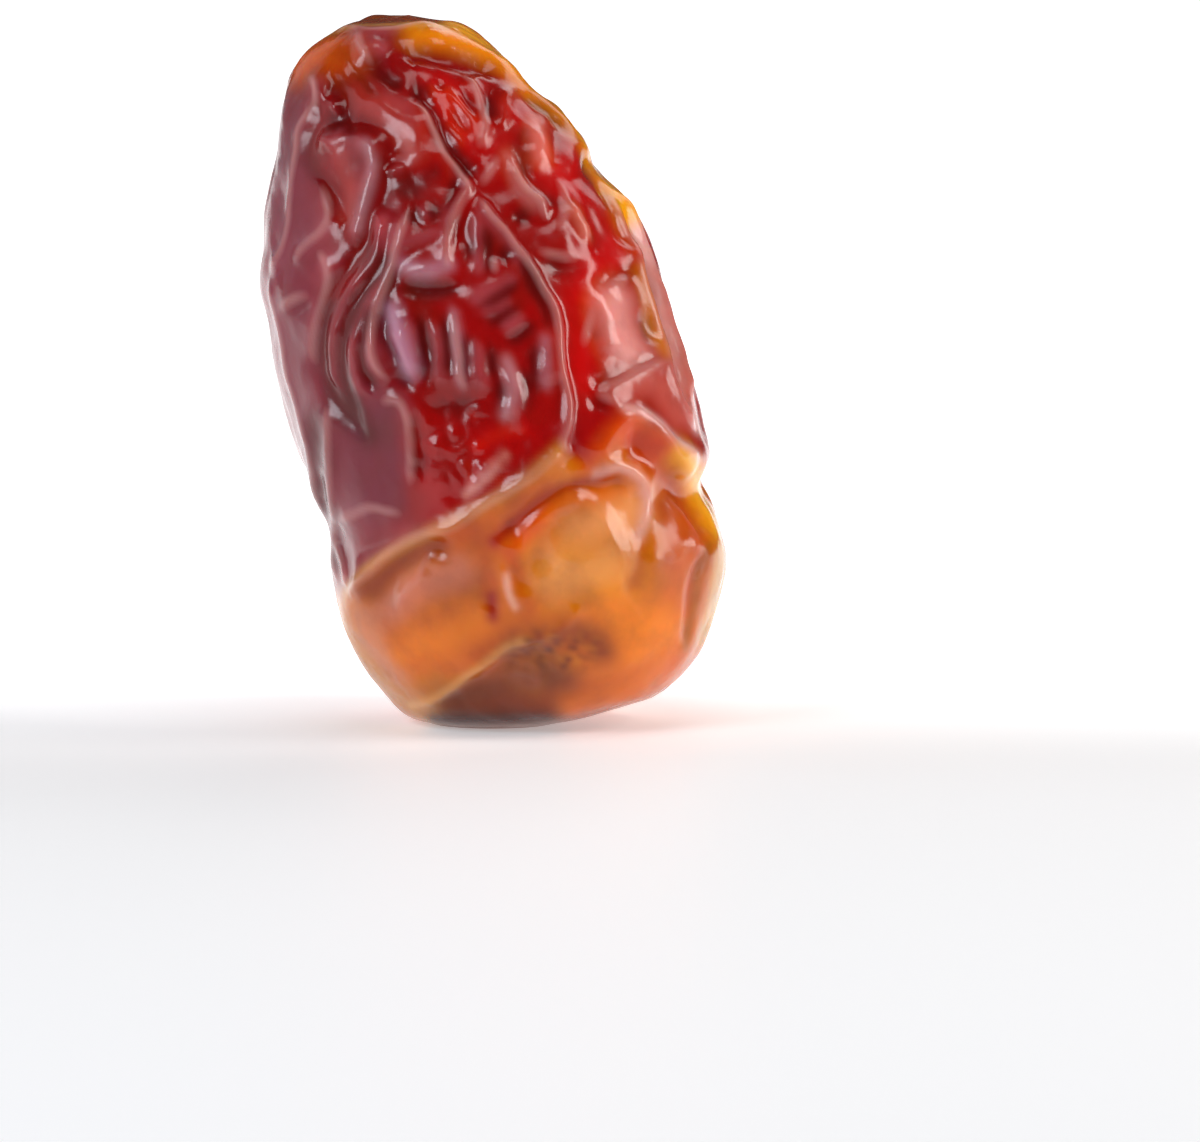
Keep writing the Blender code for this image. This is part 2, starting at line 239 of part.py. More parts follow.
MIDDLE_FOLDS = [
    ("roll", 0.28, 0.49, 0.0, [(-6.2, 29.6), (-6.3, 28.6), (-6.4, 27.6), (-6.7, 26.6), (-7.3, 25.7),
        (-8.0, 24.8), (-8.6, 23.7), (-8.9, 22.4), (-9.05, 21.0), (-8.95, 20.0), (-8.6, 19.2)]),
    ("crease", 0.22, 0.39, 0.0, [(-5.8, 28.9), (-5.9, 27.6), (-6.1, 26.5), (-6.8, 25.4), (-7.4, 24.3),
        (-7.9, 23.2), (-8.2, 22.2), (-8.35, 21.0), (-8.3, 19.9), (-8.0, 19.0), (-7.6, 18.0),
        (-7.1, 17.2)]),
    ("roll", 0.22, 0.41, 0.0, [(-6.5, 25.4), (-7.0, 24.2), (-7.4, 23.2), (-7.7, 22.2), (-7.8, 21.0),
        (-7.6, 20.0), (-7.2, 19.2), (-6.6, 18.7)]),
    ("crease", 0.17, 0.29, 0.0, [(-6.4, 24.7), (-6.8, 23.6), (-7.15, 22.4), (-7.3, 21.0), (-7.1, 20.1),
        (-6.6, 19.5), (-5.9, 19.1)]),
    ("crest", 0.34, 0.28, 0.0, [(-4.5, 29.8), (-4.8, 28.8), (-5.1, 27.9), (-5.4, 27.0), (-5.6, 26.2),
        (-5.9, 25.2), (-6.2, 24.4), (-6.5, 23.6), (-6.7, 22.6), (-6.7, 21.6), (-6.5, 20.7), (-6.1, 20.1),
        (-5.5, 19.5)]),
    ("crease", 0.28, 0.32, 0.0, [(-5.1, 27.0), (-5.5, 25.7), (-5.9, 24.4), (-6.1, 23.3), (-5.95, 22.3),
        (-5.5, 21.4), (-5.1, 20.5), (-4.7, 19.6), (-4.3, 18.8)]),
    ("roll", 0.60, 0.80, 0.0, [(-5.5, 23.5), (-5.15, 22.5), (-4.75, 21.4), (-4.5, 20.4), (-4.3, 19.4)]),
    ("crease", 0.21, 0.36, 0.0, [(-4.4, 24.0), (-4.0, 23.0), (-3.75, 22.0), (-3.65, 21.0), (-3.7, 20.0),
        (-3.9, 19.0)]),
    ("roll", 0.28, 0.68, 0.0, [(-5.2, 26.1), (-4.4, 25.9), (-3.4, 25.9), (-2.6, 26.1)]),
    ("roll", 0.17, 1.51, 0.0, [(-4.2, 28.2), (-3.8, 27.2)]),
    ("crease", 0.30, 0.43, 0.0, [(-5.7, 24.8), (-4.6, 24.9), (-3.3, 24.8), (-2.1, 24.9), (-1.3, 25.2)]),
    ("roll", 0.25, 0.47, 0.0, [(-3.8, 29.8), (-3.7, 29.1), (-3.8, 28.5)]),
    ("crease", 0.14, 0.29, 0.0, [(-4.3, 29.9), (-4.3, 28.9), (-4.0, 28.1)]),
    ("crease", 0.14, 0.29, 0.0, [(-3.3, 30.1), (-3.2, 29.2), (-3.4, 28.2)]),
    ("crest", 0.37, 0.30, 0.0, [(-1.9, 24.1), (-2.1, 23.0), (-2.0, 22.0), (-1.8, 21.0), (-1.8, 20.2),
        (-1.6, 19.5), (-1.4, 18.7)]),
    ("crease", 0.18, 0.32, 0.0, [(-2.6, 23.9), (-2.5, 22.8), (-2.4, 21.6), (-2.3, 20.4), (-2.1, 19.2)]),
    ("crease", 0.18, 0.29, 0.0, [(-1.4, 23.0), (-1.5, 22.0), (-1.4, 21.0), (-1.35, 20.0), (-1.1, 19.0)]),
    ("roll", 0.23, 0.49, 0.0, [(-3.2, 23.5), (-3.05, 22.4), (-2.9, 21.2), (-2.8, 20.0), (-2.9, 19.0)]),
    ("roll", 0.26, 0.49, 0.0, [(-0.9, 22.7), (-0.9, 21.6), (-0.75, 20.4), (-0.5, 19.4), (-0.3, 18.7)]),
    ("crease", 0.18, 0.36, 0.0, [(-0.2, 22.4), (0.0, 21.2), (0.1, 20.2), (0.15, 19.2)]),
    ("roll", 0.16, 0.45, 0.0, [(-1.9, 24.3), (-0.9, 24.3), (0.2, 24.9), (1.1, 25.4), (1.8, 26.1)]),
    ("crease", 0.11, 0.25, 0.0, [(-1.3, 23.8), (-0.4, 23.95), (0.6, 24.5), (1.4, 25.1), (2.0, 25.7)]),
    ("roll", 0.14, 0.40, 0.0, [(-1.2, 23.4), (-0.2, 23.55), (0.8, 24.1), (1.7, 24.8)]),
    ("crease", 0.13, 0.33, 0.0, [(-0.9, 22.95), (0.2, 23.1), (1.2, 23.7), (2.1, 24.4)]),
    ("roll", 0.17, 0.52, 0.0, [(0.1, 22.3), (0.9, 22.7), (1.6, 23.2), (2.1, 23.8)]),
    ("crease", 0.18, 0.36, 0.0, [(0.3, 21.7), (1.3, 22.0), (2.2, 22.7), (2.6, 23.5)]),
    ("roll", 0.42, 0.68, 0.0, [(0.8, 21.0), (1.1, 20.1), (1.35, 19.2), (1.4, 18.4), (1.0, 17.7),
        (0.6, 17.1)]),
    ("crease", 0.16, 0.36, 0.0, [(0.35, 20.6), (0.55, 19.4), (0.6, 18.4), (0.1, 17.5)]),
    ("crease", 0.18, 0.36, 0.0, [(1.75, 21.0), (1.95, 20.0), (2.1, 19.0), (2.0, 18.0), (1.5, 17.1)]),
    ("roll", 0.28, 0.55, 0.0, [(3.05, 22.3), (3.15, 21.2), (3.15, 20.0), (3.05, 18.9)]),
    ("crease", 0.17, 0.32, 0.0, [(2.55, 22.6), (2.5, 21.0), (2.5, 19.6), (2.4, 18.4)]),
    ("crease", 0.22, 0.53, 0.0, [(-4.0, 18.6), (-3.0, 18.2), (-2.0, 18.1), (-1.0, 18.1), (0.0, 18.2)]),
    ("roll", 0.22, 0.41, 0.0, [(-1.0, 29.6), (-0.8, 28.6), (-0.65, 27.6), (-0.6, 26.6), (-0.8, 25.8),
        (-1.2, 25.3)]),
    ("crease", 0.25, 0.43, 0.0, [(-1.3, 29.8), (-1.6, 28.8), (-1.9, 27.7), (-2.1, 26.9)]),
    ("crease", 0.17, 0.34, 0.0, [(-1.15, 28.4), (-1.25, 27.2), (-1.5, 26.2)]),
    ("crease", 0.16, 0.30, 0.0, [(-0.5, 29.0), (-0.3, 28.0), (-0.15, 27.0), (-0.2, 26.0), (-0.5, 25.2)]),
    ("crest", 0.19, 0.20, 0.0, [(0.0, 26.8), (0.15, 26.2), (0.3, 25.6)]),
    ("crease", 0.17, 0.34, 0.0, [(0.6, 27.6), (0.8, 26.8), (0.6, 26.0)]),
    ("crest", 0.14, 0.30, 0.0, [(5.8, 24.4), (5.6, 23.2), (5.3, 22.2), (5.0, 21.2)]),
]

# The stem end is a shallow hollow with a raised rim, and a rough scar where the cap was pulled off.
STEM_FOLDS = [
    ("crest", 0.40, 0.50, 0.0, [(-4.4, 1.3), (-3.2, 1.8), (-2.2, 2.4), (-1.3, 3.0), (-0.5, 3.7),
        (0.2, 4.2), (1.0, 4.7), (1.8, 5.1), (2.7, 5.3), (3.5, 5.6), (4.2, 6.1), (4.8, 6.7), (5.2, 7.2)]),
    ("crease", 0.29, 0.69, 0.0, [(-3.2, 1.2), (-2.0, 1.7), (-1.0, 2.3), (0.0, 3.1), (1.0, 3.8),
        (2.2, 4.1), (3.4, 4.5), (4.4, 4.8)]),
    ("crease", 0.31, 1.72, 0.0, [(-1.5, 1.4), (0.5, 2.2), (2.5, 3.0), (4.5, 3.6)]),
]
SCAR_CENTRE = (2.2, 3.5)
SCAR_RADIUS = 2.6
SCAR_ROUGHNESS = 0.22

# The middle of the fruit's bounding box at the table, which becomes the origin.
MIDDLE = np.array([0.095, 0.152, 0.0])

FRONT_FOLDS = TIP_FOLDS + HEART_FOLDS + RIGHT_FOLDS + SHOULDER_FOLDS + LEFT_FOLDS + MIDDLE_FOLDS + STEM_FOLDS


def curve_through(points, per_span=8):
    """A smooth curve through the points, as an array of rows."""
    p = np.array(points, float)
    p = np.vstack([2 * p[0] - p[1], p, 2 * p[-1] - p[-2]])
    t = np.linspace(0.0, 1.0, per_span, endpoint=False)[:, None]
    spans = []
    for a, b, c, d in zip(p, p[1:], p[2:], p[3:]):
        bend, twist = 2 * a - 5 * b + 4 * c - d, 3 * b - a - 3 * c + d
        spans.append(0.5 * (2 * b + (c - a) * t + bend * t**2 + twist * t**3))
    return np.vstack(spans + [p[-2:-1]])


def smoothstep(low, high, value):
    t = np.clip((value - low) / (high - low), 0.0, 1.0)
    return t * t * (3.0 - 2.0 * t)


def edge(points):
    """An edge curve as (offset, height) samples whose height never falls."""
    line = curve_through(points)
    line[:, 1] = np.maximum.accumulate(line[:, 1])
    return line[:, 0], line[:, 1]


def upright(points, depths):
    """Turns heights that the eye sees into heights above the table, at the given depths."""
    seen = np.array(points, float)
    lifted = (depths - FOOT_FRONT) * math.sin(VIEW_DOWN) * np.minimum(1.0, seen[:, 1])
    up = (seen[:, 1] - lifted) / math.cos(VIEW_DOWN)
    return [(x, z) for x, z in zip(seen[:, 0], up)]


def middle_depth(points):
    """The depth of the body's middle at the heights of these points."""
    up = [z for _, z in points]
    front = np.interp(up, *edge(FRONT_EDGE)[::-1])
    back = np.interp(up, *edge(BACK_EDGE)[::-1])
    return (front + back) / 2


LEFT = edge(upright(LEFT_EDGE, middle_depth(LEFT_EDGE)))
RIGHT = edge(upright(RIGHT_EDGE, middle_depth(RIGHT_EDGE)))
HEIGHT = RIGHT[1][-1]
FRONT = edge([(y, z * HEIGHT / TIP_HEIGHT) for y, z in FRONT_EDGE])
BACK = edge([(y, z * HEIGHT / TIP_HEIGHT) for y, z in BACK_EDGE])


def section(up):
    """The body's level section: centre and half size, across and in depth."""
    left, right = np.interp(up, LEFT[1], LEFT[0]), np.interp(up, RIGHT[1], RIGHT[0])
    front, back = np.interp(up, FRONT[1], FRONT[0]), np.interp(up, BACK[1], BACK[0])
    return (left + right) / 2, (right - left) / 2, (front + back) / 2, (back - front) / 2


def body_points(around, up):
    """Points of the smooth body. Angle 0 is the right, and a quarter turn is the back."""
    x, half_x, y, half_y = section(up)
    c, s = np.cos(around), np.sin(around)
    bend = 2.0 / SECTION_POWER
    across = x + half_x * np.sign(c) * np.abs(c) ** bend
    depth = y + half_y * np.sign(s) * np.abs(s) ** bend
    return np.stack([across, depth, up + 0 * across], axis=-1)


def front_points(seen):
    """Points of the smooth body that the eye sees at these (across, up)."""
    seen = np.array(seen, float)
    up = seen[:, 1].copy()
    for _ in range(24):
        x, half_x, y, half_y = section(up)
        reach = np.clip(np.abs(seen[:, 0] - x) / np.maximum(half_x, 0.1), 0.0, 0.985)
        depth = y - half_y * (1.0 - reach**SECTION_POWER) ** (1.0 / SECTION_POWER)
        wanted = (seen[:, 1] - (depth - FOOT_FRONT) * math.sin(VIEW_DOWN)) / math.cos(VIEW_DOWN)
        up = np.clip(0.5 * up + 0.5 * wanted, 0.02, HEIGHT - 0.02)
    across = x + np.clip(seen[:, 0] - x, -0.985 * half_x, 0.985 * half_x)
    return np.stack([across, depth, up], axis=-1)


def body_grid(segments, rings):
    """The smooth body as rings from just under the foot to the tip, and its outward normals."""
    around = np.arange(segments) * 2 * math.pi / segments
    share = np.arange(rings) / rings
    up = HEIGHT * (1.0 - np.cos(math.pi * share)) / 2
    up[0] = -FOOT_TRIM
    points = body_points(around[None, :], up[:, None])
    tip = np.array([TIP_ACROSS, TIP_DEPTH, HEIGHT])
    along_ring = np.roll(points, -1, axis=1) - np.roll(points, 1, axis=1)
    above = np.concatenate([points[1:], np.broadcast_to(tip, (1, segments, 3))])
    below = np.concatenate([points[:1], points[:-1]])
    normals = np.cross(along_ring, above - below)
    normals /= np.maximum(np.linalg.norm(normals, axis=2, keepdims=True), 1e-9)
    return points, normals, tip


def nearest_on_line(points, line):
    """For each point: distance to the line, share of the way along it, nearest place and direction."""
    start, step = line[:-1], np.diff(line, axis=0)
    best = np.full(len(points), 1e9)
    along = np.zeros(len(points))
    place, direction = np.zeros((len(points), 3)), np.zeros((len(points), 3))
    for i, (a, d) in enumerate(zip(start, step)):
        t = np.clip((points - a) @ d / max(d @ d, 1e-12), 0.0, 1.0)
        near = a + t[:, None] * d
        gap = np.linalg.norm(points - near, axis=1)
        closer = gap < best
        best = np.where(closer, gap, best)
        along = np.where(closer, (i + t) / len(step), along)
        place[closer], direction[closer] = near[closer], d / max(np.linalg.norm(d), 1e-12)
    return best, along, place, direction


def fold_rise(kind, height, width, lean, line, points, normals):
    """How far one fold lifts each point of the skin. A crease pushes it in."""
    rise = np.zeros(len(points))
    reach = FARTHEST_FLANK * width
    near = ((points > line.min(0) - reach) & (points < line.max(0) + reach)).all(axis=1)
    if not near.any():
        return rise
    gap, along, place, direction = nearest_on_line(points[near], line)
    side = np.einsum("ij,ij->i", np.cross(normals[near], direction), points[near] - place)
    length = np.linalg.norm(np.diff(line, axis=0), axis=1).sum()
    fade = smoothstep(0.0, min(FADE_LENGTH, 0.45 * length), np.minimum(along, 1.0 - along) * length)
    swell = 1.0 + SWELL * np.sin(SWELLS_PER_LENGTH * along * length + 40.0 * width)
    flank = width * swell * (0.5 + 0.5 * fade) * (1.0 - lean * np.tanh(side / width))
    if kind == "roll":
        shape = np.exp(-((gap / (ROLL_FLANK * flank)) ** 2))
    elif kind == "crease":
        shape = np.exp(-((gap / (CREASE_FLANK * flank)) ** 2))
    else:
        pinched = np.exp((PINCH_ROUNDING - np.hypot(gap, PINCH_ROUNDING)) / (PINCH_FLANK * flank))
        shape = 0.5 * pinched + 0.5 * np.exp(-((gap / (CREST_FOOT_FLANK * flank)) ** 2))
    rise[near] = (-height if kind == "crease" else height) * shape * fade
    return rise


def noise_at(points, scale, stretch=1.0):
    """Smooth noise with features about scale millimetres wide, and stretch times as tall."""
    size = np.array([scale, scale, scale * stretch])
    return np.array([noise.noise(Vector(p)) for p in points / size])


def away_from_eye(normals, low, high):
    """1 where the skin faces away from the eye, down to 0 where it faces the eye by more than high."""
    toward_eye = -normals[:, 1] * math.cos(VIEW_DOWN) + normals[:, 2] * math.sin(VIEW_DOWN)
    return 1.0 - smoothstep(low, high, toward_eye)


def wild_folds(points, normals):
    """The folds of the sides and back: upright lumps between sharp creases, and a few facets."""
    bends = np.stack([noise_at(points + shift, BEND_WIDTH) for shift in (11.0, 23.0, 37.0)], axis=1)
    bent = points + BEND_HEIGHT * bends
    fingers = np.abs(noise_at(bent, LUMP_WIDTH, LUMP_STRETCH))
    fine = np.abs(noise_at(bent + 51.0, FINE_WIDTH, FINE_STRETCH))
    facets = noise_at(points + 71.0, FACET_WIDTH, FACET_STRETCH)
    toward_stem = 1.0 - smoothstep(STEM_CALM_ENDS, STEM_CALM_STARTS, points[:, 2])
    lumps = LUMP_HEIGHT * (fingers - LUMP_MEAN) + FINE_HEIGHT * (fine - LUMP_MEAN)
    hidden = 0.25 * away_from_eye(normals, -0.05, 0.35) + 0.75 * away_from_eye(normals, -0.55, -0.05)
    broad = FACET_HEIGHT * facets * away_from_eye(normals, -0.7, 0.0)
    return hidden * lumps * (1.0 - STEM_CALM * toward_stem) + broad


def skin_rise(points, normals):
    """How far the skin stands off the smooth body."""
    rise = wild_folds(points, normals)
    for kind, height, width, lean, seen in FRONT_FOLDS:
        line = curve_through(front_points(seen), 4)
        rise += fold_rise(kind, height, max(width, FINEST_FOLD), lean, line, points, normals)
    scar = front_points([SCAR_CENTRE])[0]
    on_scar = 1.0 - smoothstep(0.4, 1.0, np.linalg.norm(points - scar, axis=1) / SCAR_RADIUS)
    rise += SCAR_ROUGHNESS * on_scar * noise_at(points + 91.0, 0.7)
    return rise * smoothstep(RELIEF_STARTS, RELIEF_FULL, points[:, 2])


def date_mesh(name, segments, rings):
    """The fruit as one closed mesh that reaches a little below the table's level."""
    points, normals, tip = body_grid(segments, rings)
    flat, facing = points.reshape(-1, 3), normals.reshape(-1, 3)
    skin = flat + facing * skin_rise(flat, facing)[:, None]
    verts = (np.vstack([skin, tip]) - MIDDLE) * MM
    faces = [tuple(range(segments - 1, -1, -1))]
    for ring in range(rings - 1):
        low, high = ring * segments, (ring + 1) * segments
        for i in range(segments):
            j = (i + 1) % segments
            faces.append((low + i, low + j, high + j, high + i))
    last = (rings - 1) * segments
    faces += [(last + i, last + (i + 1) % segments, len(verts) - 1) for i in range(segments)]
    mesh = bpy.data.meshes.new(name)
    mesh.from_pydata(verts.tolist(), [], faces)
    mesh.shade_smooth()
    return mesh


def table_block():
    """A block with its top at the table's level, which trims the foot flat."""
    corners = [(x, y, z) for z in (-8.0, 0.0) for y in (-20.0, 20.0) for x in (-20.0, 20.0)]
    faces = [(0, 2, 3, 1), (4, 5, 7, 6), (0, 1, 5, 4), (2, 6, 7, 3), (0, 4, 6, 2), (1, 3, 7, 5)]
    mesh = bpy.data.meshes.new("table_block")
    mesh.from_pydata((np.array(corners) * MM).tolist(), [], faces)
    block = bpy.data.objects.new("table_block", mesh)
    bpy.context.scene.collection.objects.link(block)
    block.hide_render = True
    block.display_type = "WIRE"
    return block


def skin_material():
    """Thin, glossy, amber-red fruit skin."""
    material = bpy.data.materials.new("date_skin")
    material.use_nodes = True
    shader = material.node_tree.nodes["Principled BSDF"]
    shader.inputs["Base Color"].default_value = (0.35, 0.05, 0.02, 1.0)
    shader.inputs["Roughness"].default_value = 0.28
    shader.inputs["Metallic"].default_value = 0.0
    return material


def build():
    for old in list(bpy.data.objects):
        bpy.data.objects.remove(old)
    date = bpy.data.objects.new("date_fruit", date_mesh("date_fruit", SEGMENTS, RINGS))
    bpy.context.scene.collection.objects.link(date)
    date.data.materials.append(skin_material())
    reduce = date.modifiers.new("reduce", "DECIMATE")
    reduce.ratio = TRIANGLES / (2.0 * SEGMENTS * RINGS)
    trim = date.modifiers.new("flat_foot", "BOOLEAN")
    trim.operation = "DIFFERENCE"
    trim.solver = "EXACT"
    trim.object = table_block()


build()
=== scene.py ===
"""The looks of one dried sagai date that stands on its stem end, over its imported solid."""

import math

import bpy
import numpy as np
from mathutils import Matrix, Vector, noise


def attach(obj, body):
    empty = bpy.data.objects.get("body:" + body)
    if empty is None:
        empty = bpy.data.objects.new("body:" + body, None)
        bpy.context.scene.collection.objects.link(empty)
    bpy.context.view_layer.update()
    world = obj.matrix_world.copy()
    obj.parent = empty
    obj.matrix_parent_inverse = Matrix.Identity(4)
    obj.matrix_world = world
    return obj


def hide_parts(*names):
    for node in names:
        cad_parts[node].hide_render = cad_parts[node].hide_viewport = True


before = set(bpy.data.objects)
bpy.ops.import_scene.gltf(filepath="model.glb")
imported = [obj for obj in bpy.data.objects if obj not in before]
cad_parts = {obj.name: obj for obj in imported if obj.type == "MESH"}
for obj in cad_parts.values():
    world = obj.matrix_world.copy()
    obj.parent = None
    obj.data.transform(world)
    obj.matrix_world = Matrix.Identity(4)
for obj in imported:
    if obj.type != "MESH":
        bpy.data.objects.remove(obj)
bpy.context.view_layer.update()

# The body of the fruit
# A plump oval that is blunt at the stem end and narrow at the tip, of soft flesh under a thin dry skin.
# A fine sphere is drawn out to four edge curves, given in millimetres, and is trimmed flat where it stands.

MM = 0.001

# The eye that the lines are drawn for looks down by this angle.
VIEW_DOWN = math.radians(7.0)

# 2 would make level sections that are ellipses, and more makes them squarer.
SECTION_POWER = 2.25
FOOT_FRONT = -3.4
FOOT_BACK = 4.8
FOOT_HALF_WIDTH = 3.8
FOOT_TRIM = 0.4

# The sphere has more of its columns at the front, where the folds are finest.
SEGMENTS = 300
RINGS = 330
FRONT_CROWDING = 0.5

# Left and right edges are (across, up) as the eye sees them, and front and back edges are (depth, up).
TIP_ACROSS, TIP_DEPTH, TIP_HEIGHT = -4.8, 4.0, 40.7
LEFT_EDGE = [
    (-FOOT_HALF_WIDTH, 0.0), (-5.2, 1.0), (-6.8, 2.9), (-8.1, 5.0), (-8.9, 7.0), (-9.1, 9.5), (-9.1, 11.5),
    (-10.0, 13.5), (-11.1, 16.0), (-11.8, 18.5), (-12.4, 21.0), (-12.9, 24.0), (-13.2, 26.0), (-12.9, 29.0),
    (-12.4, 32.5), (-11.9, 36.0), (-11.1, 38.1), (-10.1, 39.2), (-8.4, 40.1), (-6.6, 40.6),
    (TIP_ACROSS, TIP_HEIGHT),
]
RIGHT_EDGE = [
    (FOOT_HALF_WIDTH, 0.0), (6.23, 1.0), (9.3, 2.0), (10.9, 3.2), (12.1, 4.9), (12.9, 7.5), (13.4, 10.0),
    (12.8, 12.2), (11.9, 14.0), (12.5, 15.6), (12.0, 17.3), (11.3, 20.0), (10.25, 23.0), (9.65, 25.5),
    (8.68, 28.0), (7.49, 30.3), (6.07, 31.9), (5.42, 33.3), (3.82, 35.0), (1.89, 36.9), (0.09, 38.7),
    (-1.92, 40.2), (TIP_ACROSS, TIP_HEIGHT),
]
FRONT_EDGE = [
    (FOOT_FRONT, 0.0), (-5.6, 0.7), (-7.6, 2.2), (-9.6, 5.0), (-10.7, 9.0), (-10.9, 14.0), (-10.4, 20.0),
    (-9.3, 26.0), (-7.3, 31.0), (-4.6, 35.5), (-2.0, 38.3), (0.8, 40.2), (TIP_DEPTH, TIP_HEIGHT),
]
BACK_EDGE = [
    (FOOT_BACK, 0.0), (6.4, 0.8), (8.0, 2.4), (9.5, 5.0), (10.4, 9.0), (10.9, 14.0), (11.3, 20.0),
    (11.6, 26.0), (11.4, 31.0), (10.4, 35.5), (9.0, 38.3), (7.0, 40.2), (TIP_DEPTH, TIP_HEIGHT),
]


def curve_through(points, per_span=8):
    """A smooth curve through the points, as an array of rows."""
    p = np.array(points, float)
    p = np.vstack([2 * p[0] - p[1], p, 2 * p[-1] - p[-2]])
    t = np.linspace(0.0, 1.0, per_span, endpoint=False)[:, None]
    spans = []
    for a, b, c, d in zip(p, p[1:], p[2:], p[3:]):
        bend, twist = 2 * a - 5 * b + 4 * c - d, 3 * b - a - 3 * c + d
        spans.append(0.5 * (2 * b + (c - a) * t + bend * t**2 + twist * t**3))
    return np.vstack(spans + [p[-2:-1]])


def smoothstep(low, high, value):
    """0 below low, 1 above high, and a smooth rise between them."""
    t = np.clip((value - low) / (high - low), 0.0, 1.0)
    return t * t * (3.0 - 2.0 * t)


def edge(points):
    """An edge curve as (offset, height) samples whose height never falls."""
    line = curve_through(points)
    line[:, 1] = np.maximum.accumulate(line[:, 1])
    return line[:, 0], line[:, 1]


def upright(points, depths):
    """Turns heights that the eye sees into heights above the table, at the given depths."""
    seen = np.array(points, float)
    lifted = (depths - FOOT_FRONT) * math.sin(VIEW_DOWN) * np.minimum(1.0, seen[:, 1])
    up = (seen[:, 1] - lifted) / math.cos(VIEW_DOWN)
    return [(x, z) for x, z in zip(seen[:, 0], up)]


def middle_depth(points):
    """The depth of the body's middle at the heights of these points."""
    up = [z for _, z in points]
    front = np.interp(up, *edge(FRONT_EDGE)[::-1])
    back = np.interp(up, *edge(BACK_EDGE)[::-1])
    return (front + back) / 2


LEFT = edge(upright(LEFT_EDGE, middle_depth(LEFT_EDGE)))
RIGHT = edge(upright(RIGHT_EDGE, middle_depth(RIGHT_EDGE)))
HEIGHT = RIGHT[1][-1]
FRONT = edge([(y, z * HEIGHT / TIP_HEIGHT) for y, z in FRONT_EDGE])
BACK = edge([(y, z * HEIGHT / TIP_HEIGHT) for y, z in BACK_EDGE])


def section(up):
    """The body's level section: centre and half size, across and in depth."""
    left, right = np.interp(up, LEFT[1], LEFT[0]), np.interp(up, RIGHT[1], RIGHT[0])
    front, back = np.interp(up, FRONT[1], FRONT[0]), np.interp(up, BACK[1], BACK[0])
    return (left + right) / 2, (right - left) / 2, (front + back) / 2, (back - front) / 2


def body_points(around, up):
    """Points of the smooth body. Angle 0 is the right, and a quarter turn is the back."""
    x, half_x, y, half_y = section(up)
    c, s = np.cos(around), np.sin(around)
    bend = 2.0 / SECTION_POWER
    across = x + half_x * np.sign(c) * np.abs(c) ** bend
    depth = y + half_y * np.sign(s) * np.abs(s) ** bend
    return np.stack([across, depth, up + 0 * across], axis=-1)


# Lines stop at this share of the half width, just inside the limb. Heights are found in this many steps.
LIMB_SHARE = 0.985
HEIGHT_STEPS = 24


def front_points(seen):
    """Points of the smooth body that the eye sees at these (across, up)."""
    seen = np.array(seen, float)
    up = seen[:, 1].copy()
    for _ in range(HEIGHT_STEPS):
        x, half_x, y, half_y = section(up)
        reach = np.clip(np.abs(seen[:, 0] - x) / np.maximum(half_x, 0.1), 0.0, LIMB_SHARE)
        depth = y - half_y * (1.0 - reach**SECTION_POWER) ** (1.0 / SECTION_POWER)
        wanted = (seen[:, 1] - (depth - FOOT_FRONT) * math.sin(VIEW_DOWN)) / math.cos(VIEW_DOWN)
        up = np.clip(0.5 * up + 0.5 * wanted, 0.02, HEIGHT - 0.02)
    across = x + np.clip(seen[:, 0] - x, -LIMB_SHARE * half_x, LIMB_SHARE * half_x)
    return np.stack([across, depth, up], axis=-1)


def values(collection, name, width):
    """An attribute of every vertex, as an array."""
    data = np.empty(len(collection) * width)
    collection.foreach_get(name, data)
    return data.reshape(-1, width) if width > 1 else data


bpy.ops.object.select_all(action="DESELECT")
bpy.ops.mesh.primitive_uv_sphere_add(segments=SEGMENTS, ring_count=RINGS, radius=1.0)
date = bpy.context.object
date.name = "date_skin_and_flesh"
ball = values(date.data.vertices, "co", 3)
turn = np.arctan2(ball[:, 1], ball[:, 0])
turn = turn - FRONT_CROWDING * np.cos(turn)
up = (ball[:, 2] + 1.0) / 2.0 * (HEIGHT + FOOT_TRIM) - FOOT_TRIM
date.data.vertices.foreach_set("co", body_points(turn, up).ravel())
date.data.update()
skin = values(date.data.vertices, "co", 3)
normals = values(date.data.vertex_normals, "vector", 3)

# The folds of the front
# The skin dried faster than the flesh and puckered. Crests are pinched skin, rolls are round fingers of
# flesh under it, and creases are where it sank. Each row is a kind, a height, a half width, a lean to the
# left of its line, and the line as points (across, up) that the eye sees.

# Each fold fades out over a length at both ends, and its width swells and shrinks a little along it.
FADE_LENGTH = 1.5
SWELL = 0.2
SWELLS_PER_LENGTH = 1.9

# How far the flanks of each kind reach, as shares of the half width, and how wide the painted highlight
# along a crest is.
ROLL_FLANK = 1.2
CREASE_FLANK = 1.35
PINCH_FLANK = 0.6
CREST_FOOT_FLANK = 2.4
PINCH_ROUNDING = 0.1
FARTHEST_FLANK = 5.5
CREST_HIGHLIGHT_WIDTH = 0.2

